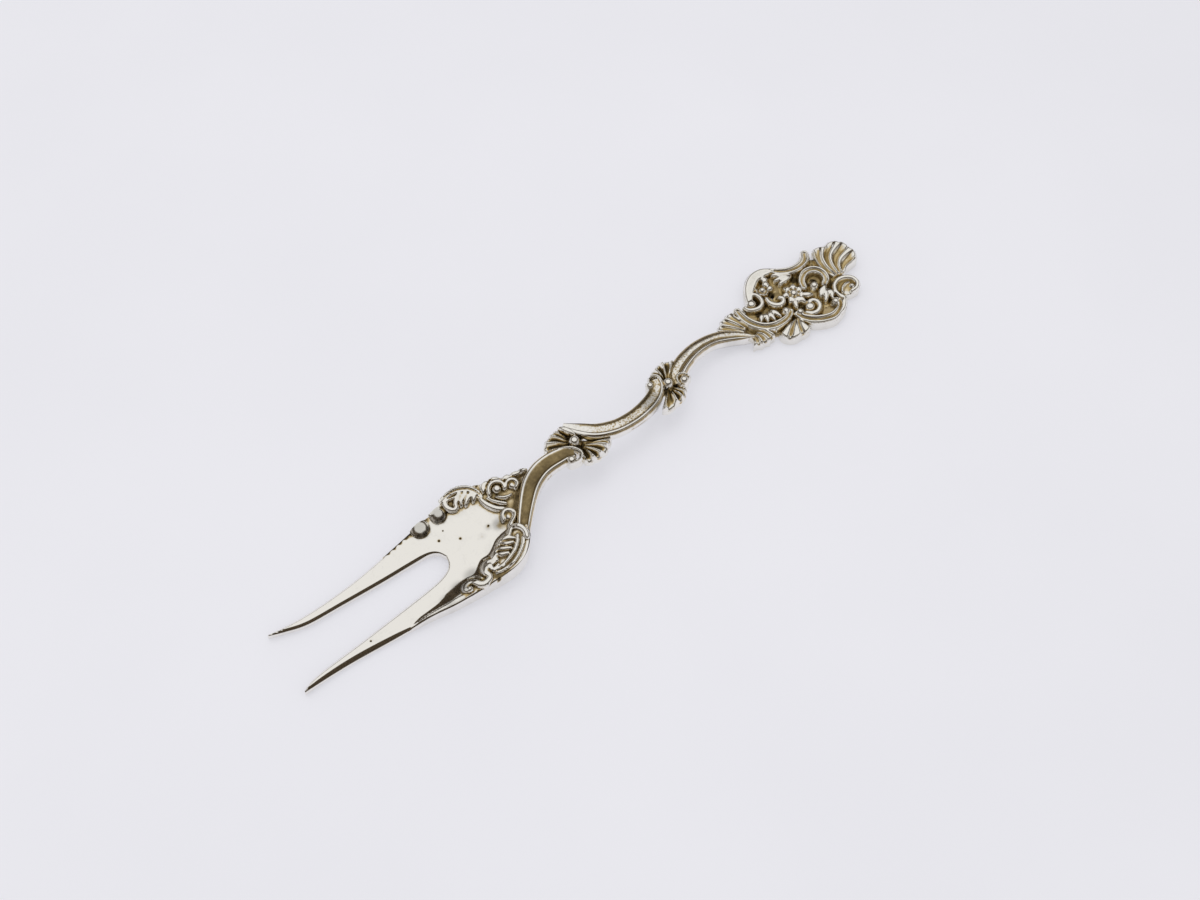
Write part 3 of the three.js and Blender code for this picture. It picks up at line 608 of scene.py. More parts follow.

# Motifs of the blade, two of them domes with a painted highlight on their outer side
LOWER_DOME = (-39.35, 5.25)
UPPER_DOME = (-34.95, 5.05)
DOME_SHEEN = 0.7
SHEEN_OFFSET = 0.8
SHEEN_RADIUS = 1.6
BLADE_GOLD = 0.2
BLADE_DARKENING = 2.6
CROWN = (-22.5, 0, 3.6, 0.26)
blade_motifs = {
    "left_tine_scroll": [bead(LOWER_DOME, 1.95, 0.95, 0.02, 0.85)],
    "left_border_scroll": [bead(UPPER_DOME, 1.7, 1.0, 0.02, 0.85)],
    "left_shoulder_scroll": [
        rail([(-36.2, 6), (-34.8, 6.25), (-33.3, 6.35), (-31.3, 6.35), (-29.6, 5.95), (-28.3, 5.15),
              (-27.3, 4.1), (-26.8, 3), (-26.7, 2.2)],
             1.9, 0.95, REEDED, widths=(0.35, 0.5, 0.6, 0.8, 1, 1.1, 1.1, 0.9, 0.6)),
    ],
    "left_acanthus": [
        *fingers(1.25, 0.95, [
            [(-31.7, 6.3), (-32.6, 5.7), (-32.8, 4.9), (-32.4, 4), (-31.8, 3.5)],
            [(-28.9, 5.4), (-30.2, 4.9), (-31.1, 4.3), (-31.3, 3.6)],
        ]),
        *fingers(1.05, 0.95, [
            [(-27.7, 4.8), (-29, 4.4), (-30, 3.9), (-30.4, 3.4)],
            [(-27.2, 3.9), (-28.3, 3.6), (-29.3, 3.2), (-29.7, 2.8)],
            [(-27.1, 3.3), (-27.7, 2.8), (-28.2, 2.4)],
        ]),
    ],
    "rosette_bead": [bead((-23.4, 0.9), 0.8, 1.15)],
    "rosette_scroll": [
        rail([(-25.2, 1), (-24.6, 2), (-23.5, 2.4), (-22.5, 2), (-21.9, 1), (-22.2, -0.1)], 0.95, 1.2),
        *fingers(1.3, 0.9, [[(-25.6, 2.4), (-24.9, 3.2), (-24, 3.4)],
                            [(-23.2, 3.1), (-22.4, 2.7), (-21.8, 2)]]),
    ],
    "crown_scroll": [rail([(-26.9, 1.5), (-26.8, 0.3), (-26.4, -1), (-25.8, -2.2), (-24.9, -3.2)],
                          1.15, 0.9)],
    "crown_frond": fingers(0.8, 1.05, [
        [(-25.8, 0.9), (-25.5, -0.4), (-24.8, -1.6), (-23.9, -2.7)],
        [(-24.5, -0.2), (-23.9, -1.1), (-23, -1.8), (-22, -2)],
    ]),
    "crown_curl": [
        rail([(-21.9, -0.1), (-21.2, 0.5), (-20.3, 0.4), (-19.7, -0.3), (-19.9, -1.2), (-20.7, -1.6)],
             0.95, 1.2),
        bead((-20.8, -0.6), 0.65, 1.05),
    ],
    "crown_leaf": fingers(1.15, 1.1, [
        [(-21.4, 1.5), (-20.6, 1.4), (-19.9, 0.9)],
        [(-19.6, 1), (-18.9, 0.8), (-18.3, 0.4)],
        [(-18.1, 0.6), (-17.5, 0.3), (-16.9, -0.1)],
    ]),
    "centre_curl": [
        rail([(-26.6, -4.9), (-26.2, -4.1), (-25.4, -3.7), (-24.6, -4.1), (-24.2, -5), (-24.6, -5.9),
              (-25.5, -6.3), (-26.6, -6.6)],
             1.05, 1.15),
        bead((-25.4, -5), 0.75, 0.9),
    ],
    "right_rim_rail": [
        rail([(-52.5, -9.9), (-50, -10.35), (-48, -10.75), (-46, -11.2), (-44, -11.65), (-42.2, -12.05),
              (-40.6, -12.35)], 0.75, 0.2,
             widths=(0.1, 0.5, 0.85, 1, 1, 1, 0.9), heights=(0.1, 0.5, 1, 1, 1, 1, 1)),
    ],
    "right_tine_scroll": [
        rail([(-40.8, -11.9), (-41.4, -11.4), (-41.1, -10.7), (-40.2, -10.4), (-39.4, -10.7), (-39, -11.5),
              (-38.7, -12.3), (-38, -12.9), (-37.2, -12.9), (-36.4, -12.6)], 1.45, 0.9),
        rail([(-39.2, -9.5), (-38.3, -9.9), (-37.8, -10.8), (-37.5, -11.8)], 0.7, 0.55),
        bead((-40.7, -11.8), 0.5, 1),
    ],
    "right_border_scroll": [
        rail([(-36.2, -12.2), (-36.3, -11.1), (-35.9, -10.1), (-35.1, -9.6), (-34.3, -9.9), (-34, -10.6)],
             1.45, 0.9),
        bead((-35, -10.7), 0.75, 1.0),
        rail([(-35.3, -11.5), (-34.3, -11.8), (-33.4, -11.6)], 0.65, 0.75),
        rail([(-34.4, -8.5), (-33.7, -9.1), (-33.4, -10)], 0.6, 0.5),
    ],
    "right_shoulder_scroll": [
        rail([(-28, -8.2), (-27.3, -7.5), (-26.5, -7.3), (-25.8, -7.9), (-25.4, -9), (-25.5, -10.3),
              (-26, -11.3)], 1.2, 0.9),
        rail([(-26.4, -10.7), (-27.6, -11.9), (-29.3, -12.9), (-31.3, -13.5), (-33.3, -13.4), (-34.9, -12.8)],
             0.6, 0.65),
    ],
    "right_inner_rail": [
        rail([(-26.9, -9.5), (-27.9, -10.6), (-29.4, -11.6), (-31.4, -12.2), (-33.3, -12.4), (-34.9, -12.1)],
             0.75, 0.75),
    ],
    "right_acanthus": [
        *fingers(1.4, 0.9, [[(-33.1, -10.7), (-33, -9.7), (-32.4, -8.9), (-31.5, -8.9)]]),
        *fingers(1.05, 0.9, [
            [(-32.2, -9.7), (-31.6, -10.5), (-30.6, -11.2)],
            [(-31.4, -8.9), (-30.6, -9.8), (-29.6, -10.7)],
            [(-30.2, -8.6), (-29.4, -9.5), (-28.5, -10.1)],
        ]),
        *fingers(1.25, 0.9, [[(-30.8, -8.3), (-30, -7.8), (-29.2, -8.1), (-28.4, -8.8), (-27.9, -9.5)]]),
    ],
}


def left_of_edge(x, y, reach):
    """The scrolls of the left tine end at its edge."""
    return np.where(x < LEFT_EDGE_END, np.minimum(reach + OVERHANG, LEFT_EDGE - y), reach + OVERHANG)


def blade_gold(x, y):
    """The crown beside the neck is more golden, and tarnish is taken off the outer sides of the domes as a
    painted highlight.
    """
    gold = BLADE_GOLD + round_stains(x, y, [CROWN], SOFT)
    for px, py in (LOWER_DOME, UPPER_DOME):
        # Painted highlight: the lit outer side of each dome loses its tarnish
        sheen = (px - SHEEN_OFFSET, py + SHEEN_OFFSET, SHEEN_RADIUS, DOME_SHEEN)
        gold = gold - round_stains(x, y, [sheen], SOFT)
    return gold


relief(blade_motifs, blade_top, in_blade, 0, left_of_edge, blade_gold, BLADE_DARKENING)


# Stems
STEM_SPACING = 0.2
TIP_RUN = 4.5
STEM_UNDER = ((-1, 1, 0.5), (-1, 0.97, 0.72), (-1, 0.85, 0.89), (-1, 0.5, 0.97),
              (0, 0.5, 0.97), (0, 0.85, 0.89), (0, 0.97, 0.72), (0, 1, 0.5))


def stem(plan, widths, shape, tip=0, depths=(1, 1, 1)):
    """A grooved stem along the arch. tip lowers its first few millimetres, and depths fade its grooves."""
    centre, left, bend, run = frame_of(plan, STEM_SPACING)
    grow = along_run(widths, run / run[-1])
    offset = across(grow, shape[:, 0], bend)
    x = centre[:, :1] + left[:, :1] * offset
    y = centre[:, 1:] + left[:, 1:] * offset
    ridge = stem_top(centre[:, :1]) - tip * (1 - smoothstep(0, TIP_RUN, run))[:, None]
    deep = along_run(depths, run / run[-1])
    z = ridge - shape[None, :, 1] * (np.minimum(grow, 1) * deep)[:, None]
    top = np.stack([x, y, z], 2)
    under = []
    for edge, tuck, depth in STEM_UNDER:
        shift = offset[:, edge] * tuck
        under.append(np.column_stack([centre + left * shift[:, None], ridge[:, 0] - STEM_DEPTH * depth]))
    rings = np.concatenate([top, np.stack(under, 1)], 1)
    paint = np.zeros((*rings.shape[:2], 2))
    paint[:, :len(shape)] = shape[None, :, 2:] * deep[:, None, None]
    return tube(rings, paint)


NECK = [(-27.2, -11.3), (-25.6, -9.9), (-23.4, -7.8), (-21.1, -5.8), (-18.9, -4.1), (-17, -3.1), (-15, -2.55),
        (-13, -2.5), (-11, -2.8), (-9, -3.3), (-7.6, -4.1)]
NECK_SHAPE = section([
    (-2.05, 1.35), (-1.98, 0.75, 0.1), (-1.85, 0.5, 0.42), (-1.68, 0.28, 0.4), (-1.5, 0.07, 0.1), (-1.36, 0),
    (-1.15, 0.05), (-1, 0.25, 0.45), (-0.8, 0.46, 0.66), (-0.4, 0.56, 0.72), (0, 0.57, 0.7),
    (0.35, 0.52, 0.68), (0.8, 0.36, 0.66), (1.2, 0.15, 0.55), (1.42, 0.03), (1.58, 0), (1.85, 0.12, 0.3),
    (2.1, 0.35, 0.45), (2.25, 0.8, 0.3),
])
MIDDLE_STEM = [(-5.2, 2), (-4.4, 0.8), (-3.1, -0.9), (-1.2, -2.9), (1, -4.2), (3.5, -5.1), (7, -5.5),
               (10.5, -5.2), (13.4, -4.4), (15.6, -3.1), (16.6, -1.5)]
MIDDLE_SHAPE = section([
    (-1.92, 1.35), (-1.86, 0.7, 0.1), (-1.75, 0.48, 0.4), (-1.58, 0.26, 0.38), (-1.42, 0.06, 0.1), (-1.25, 0),
    (-1.05, 0.04), (-0.92, 0.2, 0.5), (-0.78, 0.34, 0.35, 0.6), (-0.3, 0.38, 0.04, 1), (0.2, 0.38, 0.06, 1),
    (0.65, 0.42, 0.2, 1), (1, 0.5, 0.5, 0.7), (1.4, 0.68, 0.6, 0.3), (1.7, 0.88, 0.5), (1.85, 1.05, 0.2),
])
UPPER_STEM = [(19.9, -5.3), (20.9, -3.5), (22.6, -2.3), (25, -1.3), (28, -0.5), (31, -0.2), (34, -0.4),
              (36.6, -1.2), (39, -2.6), (41.8, -4.9)]
UPPER_SHAPE = section([
    (-1.72, 1.25), (-1.66, 0.65, 0.1), (-1.52, 0.42, 0.4), (-1.32, 0.15, 0.3), (-1.16, 0.02), (-1, 0),
    (-0.78, 0.04), (-0.62, 0.2, 0.5), (-0.42, 0.3, 0.6), (-0.22, 0.2, 0.4), (0, 0.1, 0.1, 0.5),
    (0.5, 0.08, 0.1, 0.8), (1.05, 0.14, 0.2, 0.8), (1.35, 0.26, 0.45, 0.4), (1.6, 0.44, 0.55),
    (1.8, 0.7, 0.3),
])
pieces["neck"] = stem(NECK, (0.3, 0.62, 0.76, 0.88, 0.98, 1, 0.95, 0.75), NECK_SHAPE, tip=1.6)
pieces["middle_stem"] = stem(MIDDLE_STEM, (0.25, 0.8, 1, 1, 1, 0.95, 0.62), MIDDLE_SHAPE,
                             depths=(0.3, 0.5, 0.9, 1, 1, 1, 0.9))
pieces["upper_stem"] = stem(UPPER_STEM, (0.7, 1.05, 1.1, 1.05, 1, 0.95, 0.92, 0.65, 0.12), UPPER_SHAPE)


# Knops
KNOP_TURNS = 40
KNOP_WAVES = 8
KNOP_RIPPLE = 0.02
KNOP_SEAT = 1.6
KNOP_SINK = 2.0
KNOP_ROOT = 0.6
KNOP_GROUND = -0.2
KNOP_GOLD = 0.27
KNOP_DARKENING = 2.7
KNOP_RINGS = [(1.7, -1.7, 0), (2.15, -1.45, 0), (2.4, -1, 0.3), (2.4, -0.2, 0.6), (2.2, 0.1, 0.75),
              (1.6, 0.25, 0.8), (1, 0.25, 0.85), (0.5, 0.25, 0.85)]


def level(centre, drop):
    height = float(stem_top(centre[0])) - drop
    return lambda x, y: np.full_like(x, height)


def knop_body(centre):
    """A turned body from (radius, height, tarnish) rings, lobed by waves round its rim."""
    angle = full_turn(KNOP_TURNS)
    ripple = 1 + KNOP_RIPPLE * np.cos(KNOP_WAVES * angle)
    seat = level(centre, KNOP_SEAT)
    rings, paint = [], []
    for radius, height, tarnish in KNOP_RINGS:
        x = centre[0] + radius * ripple * np.cos(angle)
        y = centre[1] + radius * ripple * np.sin(angle)
        rings.append(np.column_stack([x, y, seat(x, y) + height]))
        paint.append([(tarnish, 0)])
    return tube(np.stack(rings), np.array(paint, float))


def fan(hub, tips):
    return leaf(fan_ridges(hub, tips, 0.22), 0.55, 2.0, bulge=0.2, ridge=0.07)


pieces["lower_knop"] = knop_body(LOWER_KNOP)
pieces["upper_knop"] = knop_body(UPPER_KNOP)
lower_motifs = {
    "lower_bead": [bead((-5.8, -2.1), 1.1, 2.5)],
    "lower_left_fan": [
        fan((-6, -2), [(-11.6, -0.6), (-10.6, 1.2), (-8.6, 2.1), (-6.8, 2.4)]),
        rail([(-6, 2.1), (-5.5, 1), (-5, -0.3), (-4.7, -1.2)], 1.5, 2.3, widths=(0.6, 1, 0.9, 0.4)),
    ],
    "lower_right_fan": [
        fan((-5.4, -2.9), [(-7.1, -6.7), (-5.3, -7.6), (-3.5, -7.7), (-1.3, -7), (0.2, -6.1)]),
        rail([(-5.2, -2.6), (-3.9, -3.8), (-2.4, -4.9), (-0.6, -5.7)], 1.7, 0.6),
    ],
    "neck_curl": [
        rail([(-9.6, -1.4), (-8.4, -2.1), (-7.3, -3.1), (-6.6, -4.4), (-6.7, -5.5), (-7.6, -6), (-8.6, -5.9)],
             0.8, 2.2),
        bead((-9.1, -5.1), 0.95, 2.3),
    ],
}
upper_motifs = {
    "upper_bead": [bead((18.1, -3.6), 1.05, 2.5)],
    "upper_left_fan": [fan((18.3, -3.4), [(16.6, -0.2), (18.6, 0.9), (20.7, 1.1), (22.8, 0)])],
    "upper_right_fan": [fan((18, -3.9), [(13, -7.5), (16.5, -8.1), (18.1, -8), (19.4, -7.4), (20.3, -6.5)])],
    "middle_curl": [
        rail([(16.9, -3), (17.5, -2), (17.5, -1), (16.9, -0.3), (16, -0.3)], 0.85, 2.2),
        bead((14.9, -1.7), 0.9, 2.3),
    ],
    "upper_curl": [
        rail([(19.6, -5.8), (19.8, -4.6), (20.5, -3.7), (21.5, -3.6), (22.3, -4.3), (22.5, -5.2)],
             0.75, 2.15),
        bead((21.1, -5.2), 0.95, 2.35),
    ],
}
for motifs, knop in ((lower_motifs, LOWER_KNOP), (upper_motifs, UPPER_KNOP)):
    base = level(knop, KNOP_SINK + KNOP_ROOT)
    relief(motifs, level(knop, KNOP_SINK), base, KNOP_GROUND, narrow, even(KNOP_GOLD), KNOP_DARKENING)


# Finial
def on_table(x, y):
    return np.full_like(x, FLOOR_GAP)


def finial_seat(x, y):
    return np.maximum(PLATE_TOP, stem_top(x) - FINIAL_SINK)


FINIAL_RIM = [
    (42.4, 0.6), (44.4, 1.5), (46.8, 1.8), (48.8, 3.8), (51.2, 5.9), (54, 6.7), (57.2, 6.2), (59.2, 3.9),
    (62.2, 2.3), (65.2, 3.2), (67.8, 2), (70.6, 1.4), (72.6, 0.2), (72.8, -1.8), (71.4, -3.6), (68.9, -4.9),
    (68.3, -7.4), (66.8, -8.7), (64.4, -8.8), (62.6, -10.6), (59.8, -11.9), (56.8, -11.4), (54, -10.2),
    (51, -9.8), (48.6, -8.2), (46, -6.6), (43.8, -5.6), (42.4, -3.6),
]
PIERCINGS = [(52.9, 1.9, 0.45, 2.3), (60, 1.2, 1, 0.4), (64.6, 1.2, 1.3, 0.4), (47.6, -0.6, 1.2, 0.5),
             (59.4, -7.6, 0.45, 1.2), (62.2, -1.9, 0.7, 0.7)]
RIM_STEP = 0.25
RIM_SEARCH = 60
RIM_BEVEL = 0.3
PIERCING_BEVEL = 0.16
PIERCING_TURNS = 28
GROUND_TOP = 1.35
GROUND_WAVE = 0.08
GROUND_PITCH = (1.9, 2.3)
GROUND_BEVEL = 0.8
BACK_BEVEL = 0.5
GROUND_SPACING = 0.4
GROUND_TARNISH = 0.5
TARNISH_FLOOR = 0.4
FINIAL_SINK = 1.9
FINIAL_SPREAD = 0.6
SPREAD_RUN = (0.2, 1.2)
FINIAL_GOLD = 0.18
FINIAL_DARKENING = 1.15
FLOWER = (56.5, -2)
PETALS = 7
LEFT_BEAD = (52.1, 3.1)


def finial_frame():
    """The sunk ground of the finial, pierced between the scrolls."""
    line = curve(FINIAL_RIM[-2:] + FINIAL_RIM + FINIAL_RIM[:2], RIM_STEP)
    first = np.linalg.norm(line[:RIM_SEARCH] - FINIAL_RIM[0], axis=1).argmin()
    last = len(line) - RIM_SEARCH + np.linalg.norm(line[-RIM_SEARCH:] - FINIAL_RIM[0], axis=1).argmin()
    loops = [line[first:last][::-1]]
    loops += [oval(x, y, a, -b, full_turn(PIERCING_TURNS)) for x, y, a, b in PIERCINGS]
    widths = [np.full(len(loop), RIM_BEVEL if k == 0 else PIERCING_BEVEL) for k, loop in enumerate(loops)]

    def top(x, y, gap, bevel):
        wave = GROUND_WAVE * np.sin(GROUND_PITCH[0] * x) * np.sin(GROUND_PITCH[1] * y)
        return GROUND_TOP + wave - bevel_loss(gap, bevel, GROUND_BEVEL)

    def bottom(x, y, gap, bevel):
        return FLOOR_GAP + bevel_loss(gap, bevel, BACK_BEVEL)

    points, faces, paint = plate(loops, widths, top, bottom, GROUND_SPACING)
    paint[:, 0] = np.where(points[:, 2] > TARNISH_FLOOR, GROUND_TARNISH, 0)
    return points, faces, paint


pieces["finial_frame"] = finial_frame()
finial_motifs = {
    "collar_fan": [
        leaf(fan_ridges((43, -3), [(36.8, 0.8), (38.6, 2), (40.7, 2.9), (43, 3.1)], 0.2), 0.5, 1.45,
             ridge=0.08, closed=0.2),
    ],
    "collar_leaf": [
        leaf([[(42, -4.2), (41.5, -5.2), (40.5, -6.3)], [(42.7, -3.9), (42.8, -5.3), (42.2, -7.1)],
              [(43.4, -3.7), (44, -5.4), (44, -7.5)], [(44.1, -3.6), (45.1, -5.2), (45.6, -7.3)],
              [(44.6, -3.6), (46, -4.9), (47, -6.3)]], 0.5, 1.4, bulge=-0.15),
    ],
    "lower_c_scroll": [
        rail([(44.2, 2.6), (43.9, 1), (43.9, -0.7), (44.4, -2.5), (45.5, -4.2), (47.3, -5.4), (49.4, -5.8),
              (51.3, -5.6), (52.7, -4.9)], 2.2, 1.5, CHANNEL, widths=(0.8, 0.9, 1, 1, 1, 1, 0.95, 0.8, 0.6)),
        bead((52, -4.2), 0.8, 1.65),
    ],
    "volute_bead": [bead((47.9, 2.1), 1.05, 1.3, 0.4)],
    "left_volute": [
        rail([(46, 2.2), (46.2, 1.2), (47, 0.5), (48.2, 0.1), (49.3, 0.4), (50, 1.2), (50.3, 2.3),
              (50.1, 3.4)], 1.2, 1.5),
    ],
    "left_inner_curl": [
        rail([(51.2, 0.9), (50.9, -0.3), (51.2, -1.4), (52.1, -2.2), (53.1, -2.2), (53.8, -1.5),
              (53.5, -0.7)], 1.35, 1.5),
    ],
    "lower_leaf": fingers(1.25, 1.3, [
        [(47.6, -1.6), (46.8, -2), (46.2, -2.6)],
        [(48.2, -1.9), (47.7, -2.8), (47.2, -3.6)],
        [(49, -2), (48.8, -3.1), (48.6, -4.2)],
        [(49.8, -2), (50, -3.1), (50.2, -4.3)],
    ]),
    "left_bulge": [
        rail([(48.3, 3.1), (49.8, 4.7), (51.4, 5.9), (53.3, 6.7), (55.4, 6.6), (57.4, 5.7)], 2.7, 1.3,
             widths=(0.6, 0.85, 1, 1, 0.95, 0.55)),
    ],
    "left_bead": [bead(LEFT_BEAD, 0.7, 1.5), rail(spiral(LEFT_BEAD, 120, 0.6, 1.25, 1.2), 0.55, 1.25)],
    "tongue_leaf": [bead((53.9, 2.6), 0.8, 1.1, 0.3), bead((53.9, 3.9), 0.9, 1.2, 0.3),
                    bead((54.6, 5), 0.9, 1.15, 0.3)],
    "crest_left_scroll": [
        rail([(57.4, 5.5), (58.6, 4.1), (60, 3.1), (61.8, 2.55), (63.6, 2.6), (65.1, 3.2), (66.1, 4.3)],
             2.1, 1.5, CHANNEL, widths=(0.6, 0.85, 0.95, 1, 1, 1, 0.85)),
    ],
    "small_shell": fingers(1.3, 1.4, [
        [(59.4, 1.9), (57.9, 1.8), (56.2, 1.9)],
        [(59.3, 2.4), (57.7, 2.7), (56, 3.2)],
        [(59, 2.9), (57.8, 3.6), (56.6, 4.6)],
    ]),
    "upper_inner_scroll": [
        rail([(59.5, -2.1), (60, -1), (61, -0.1), (62.4, 0.4), (63.8, 0.1), (64.8, -0.8), (65.1, -2.3),
              (64.6, -3.7), (63.4, -4.4)],
             1.9, 1.5, CHANNEL),
        bead((61.4, -3.3), 0.85, 1.6),
    ],
    "crest_right_curl": [
        rail([(63.6, -9.4), (63.6, -7.8), (64.3, -6.5), (65.6, -5.8), (67, -5.8), (68.2, -6.4), (69, -7.5),
              (68.9, -8.8), (67.9, -9.7), (66.4, -9.7)], 1.2, 1.5),
        rail([(64.7, -8.5), (65.5, -7.8), (66.6, -7.5), (67.6, -7.6)], 0.7, 1.4),
        bead((66.6, -8), 2.1, 0.7),
        bead((67.4, -8.7), 0.55, 1.4),
    ],
    "crest_shell": [
        leaf([[(66.5, -4.3), (65.8, -1.8), (66.1, 0.4), (67.3, 3.2)],
              [(67.1, -4.5), (67.1, -1.8), (68.2, 0.9), (70.4, 2.7)],
              [(67.8, -4.6), (68.4, -2), (70, 0.2), (73.9, 1.5)],
              [(68.5, -4.7), (69.4, -2.9), (71.3, -1.9), (74.5, -1.5)],
              [(69.2, -4.9), (70.2, -4.5), (71.9, -4.5), (73.4, -4.4)]],
             0.5, 1.5, bulge=0.3, root=0.8, closed=0.4),
    ],
    "flower_bead": [bead(FLOWER, 0.85, 1.75)],
    "flower": fingers(1.65, 1.5, [
        [(FLOWER[0] + r * math.cos(a), FLOWER[1] + r * math.sin(a)) for r in (1.1, 1.65, 2.2)]
        for a in np.arange(PETALS) * 2 * math.pi / PETALS
    ]),
    "flower_leaf": fingers(1.45, 1.45, [
        [(55.6, -3.4), (54.9, -4.1), (54.5, -4.9)],
        [(56.6, -3.6), (56.7, -4.3), (56.8, -5)],
        [(57.6, -3.4), (58.4, -4.1), (59.3, -4.7)],
    ]),
    "right_c_scroll": [
        rail([(53.2, -6.4), (53.6, -8.1), (54.8, -9.8), (56.6, -11.1), (58.6, -11.8), (60.5, -11.5),
              (61.9, -10.7), (62.5, -9.8), (62.2, -9)],
             2.25, 1.5, CHANNEL, widths=(0.7, 0.9, 1, 1, 1, 1, 0.8, 0.6, 0.5)),
        bead((61.7, -9.4), 0.8, 1.65),
    ],
    "right_c_rail": [rail([(60, -12.3), (61.7, -11.7), (62.9, -10.9), (63.8, -10), (64, -9.2)], 1.15, 1.45)],
    "right_inner_scroll": [
        rail([(55, -7.4), (55.8, -8.4), (57, -8.7), (58.2, -8.1), (58.7, -7), (58.4, -6), (57.6, -5.6)],
             1.3, 1.5),
        bead((56.9, -6.6), 1.0, 1.25),
    ],
    "right_bead": [bead((54, -6.4), 0.75, 1.7)],
    "ragged_leaf": fingers(1.35, 1.45, [
        [(63.4, -4.9), (62.4, -5.2), (61.3, -5.5), (60.5, -6.2)],
        [(62.4, -5.6), (61.7, -6.5), (61, -7.3), (60.3, -7.8)],
        [(62.8, -6.2), (62.6, -7.3), (62, -8.1)],
    ]),
    "bottom_shell": [
        leaf([[(52, -6.7), (49.8, -6.9), (46.9, -7.4)], [(52.3, -7), (50.3, -8), (47.4, -9.8)],
              [(52.6, -7.2), (51.4, -8.7), (50.4, -10.8)], [(53, -7.4), (52.8, -9), (53, -10.7)]],
             -0.4, 1.45, bulge=0.16),
    ],
}


def finial_spread(x, y, reach):
    depth = depth_inside(x, y, np.array(FINIAL_RIM))
    return reach + OVERHANG + FINIAL_SPREAD * smoothstep(*SPREAD_RUN, depth)


GROUND = GROUND_TOP - PLATE_TOP
relief(finial_motifs, finial_seat, on_table, GROUND, finial_spread, even(FINIAL_GOLD), FINIAL_DARKENING)


# Stains and painted shade: round marks with their place, radius and, where it varies, strength
# The smears include a painted reflection beside the centre curl and painted shade between the tops of the two
# domes
SMEARS = [(-27.3, -4.9, 1.1, 0.45), (-29.2, -3.4, 0.5, 0.4), (-31.2, -4, 0.8, 0.25),
          (-21.6, -3.2, 1.3, 0.75), (-23.4, -4, 1.4, 0.75), (-19.4, -1.8, 1.1, 0.7), (-41.3, 5.6, 0.7, 0.7),
          (-37.2, 5.9, 0.45, 0.9)]
# Painted shade of notches that the mesh does not cut
SLITS = [(-35.3, -14.1, 0.42), (-39.7, -13.2, 0.36), (-25.9, 5.1, 0.3), (-25.7, 4.4, 0.3), (-23.2, 3.2, 0.3),
         (-22.9, 2.7, 0.25)]
# Painted shade where openings in the finial's ground show the shaded floor
HOLLOWS = [(53, 1.3, 1), (59.6, 1, 1), (47.4, -0.7, 1.1), (55.6, -5.8, 0.8), (62.5, -2.1, 0.9),
           (61.2, -7.3, 0.9)]
# Grey marks: painted reflection on the domes, on the right border's wedge and beside the centre curl, and
# painted shade in the crescents below the domes
FILMS = [(-39.3, 5.2, 1.3, 0.28), (-34.9, 5.2, 1.3, 0.28), (12, -4.4, 2.8, 0.45), (6, -5, 2.2, 0.12),
         (-38.2, -9.5, 1.8, 0.4), (-41.7, -10, 1.8, 0.5), (-18, -2.6, 2.6, 0.2), (37.4, -2, 2, 0.15),
         (-27.5, -4.4, 1.3, 0.4), (-29.3, -3.4, 0.7, 0.2), (-39.3, 3.75, 0.6, 0.6), (-38.2, 4.2, 0.5, 0.6),
         (-40.5, 4.2, 0.5, 0.5), (-34.9, 3.75, 0.6, 0.6), (-33.9, 4.2, 0.5, 0.6), (-36, 4.1, 0.5, 0.5),
         (-45, -10.4, 1.5, 0.4)]
PIT_STAIN = 0.95
HOLLOW_STAIN = 0.9
HOLLOW_FADE = (1.6, 2.2)
SHOULDER_STAIN = 0.62
SHOULDER_FADE = (0.8, 1.3)
SHOULDER_SPACING = 0.2
STAIN_DEPTH = 0.45
SLIT_FOOT = 3.1
BRUISE_WIDTH = 0.5
BRUISE_WAVE = 0.25
BRUISE_PITCH = 4.1
BRUISE_SPREAD = 0.5
BRUISE_CORE = 0.6
BRUISE_WIDENS = (-43, -41)
BRUISE_STARTS = (-49, -47.5)
BRUISE_STOPS = (-40.5, -39.5)
BRUISE_EDGE = [(-50, 5.45), (-48, 5.6), (-43, 5.85), (-40, 6.1), (-39, 6.2)]
SHOULDER_HOLLOW = [(-34.9, -13), (-33.3, -13.2), (-31.2, -13.1), (-29.2, -12.3), (-27.6, -11), (-26.9, -9.8)]


def blade_stains(points):
    """Tarnish in pits, smears, the shoulder's hollow and the bruised left tine edge, with painted shade and
    reflection among the smears.
    """
    x, y, z = points.T
    away = closest(points[:, :2], curve(SHOULDER_HOLLOW, SHOULDER_SPACING))[1]
    shoulder = SHOULDER_STAIN * (1 - smoothstep(*SHOULDER_FADE, away))
    marks = round_stains(x, y, [(*pit, PIT_STAIN) for pit in PITS] + SMEARS, SOFT)
    edge = np.interp(x, *np.transpose(BRUISE_EDGE))
    reach = BRUISE_WIDTH + BRUISE_WAVE * np.sin(BRUISE_PITCH * x)
    reach = reach + BRUISE_SPREAD * smoothstep(*BRUISE_WIDENS, x)
    bruise = smoothstep(*BRUISE_STARTS, x) * (1 - smoothstep(*BRUISE_STOPS, x))
    bruise = bruise * (1 - smoothstep(BRUISE_CORE * reach, reach, edge - y))
    stain = np.max([shoulder, marks, bruise], axis=0)
    return np.where(z > blade_top(x, y) - STAIN_DEPTH, stain, 0)


def slit_stains(points):
    """Painted shade of small notches at the rim of the blade, which run some way down its wall."""
    x, y, z = points.T
    return np.where(z > SLIT_FOOT, round_stains(x, y, [(*notch, 1) for notch in SLITS], CRISP), 0)


def hollow_stains(points):
    """Painted shade in the ground of the finial, where its openings show the shaded floor."""
    x, y, z = points.T
    dark = round_stains(x, y, [(*shaded_hole, HOLLOW_STAIN) for shaded_hole in HOLLOWS], CRISP)
    return dark * (1 - smoothstep(*HOLLOW_FADE, z))


def film(points):
    """Greys parts of the silver: painted reflection on the domes, on the right border's wedge and beside the
    centre curl, and painted shade below the domes.
    """
    return round_stains(points[:, 0], points[:, 1], FILMS, CRISP)


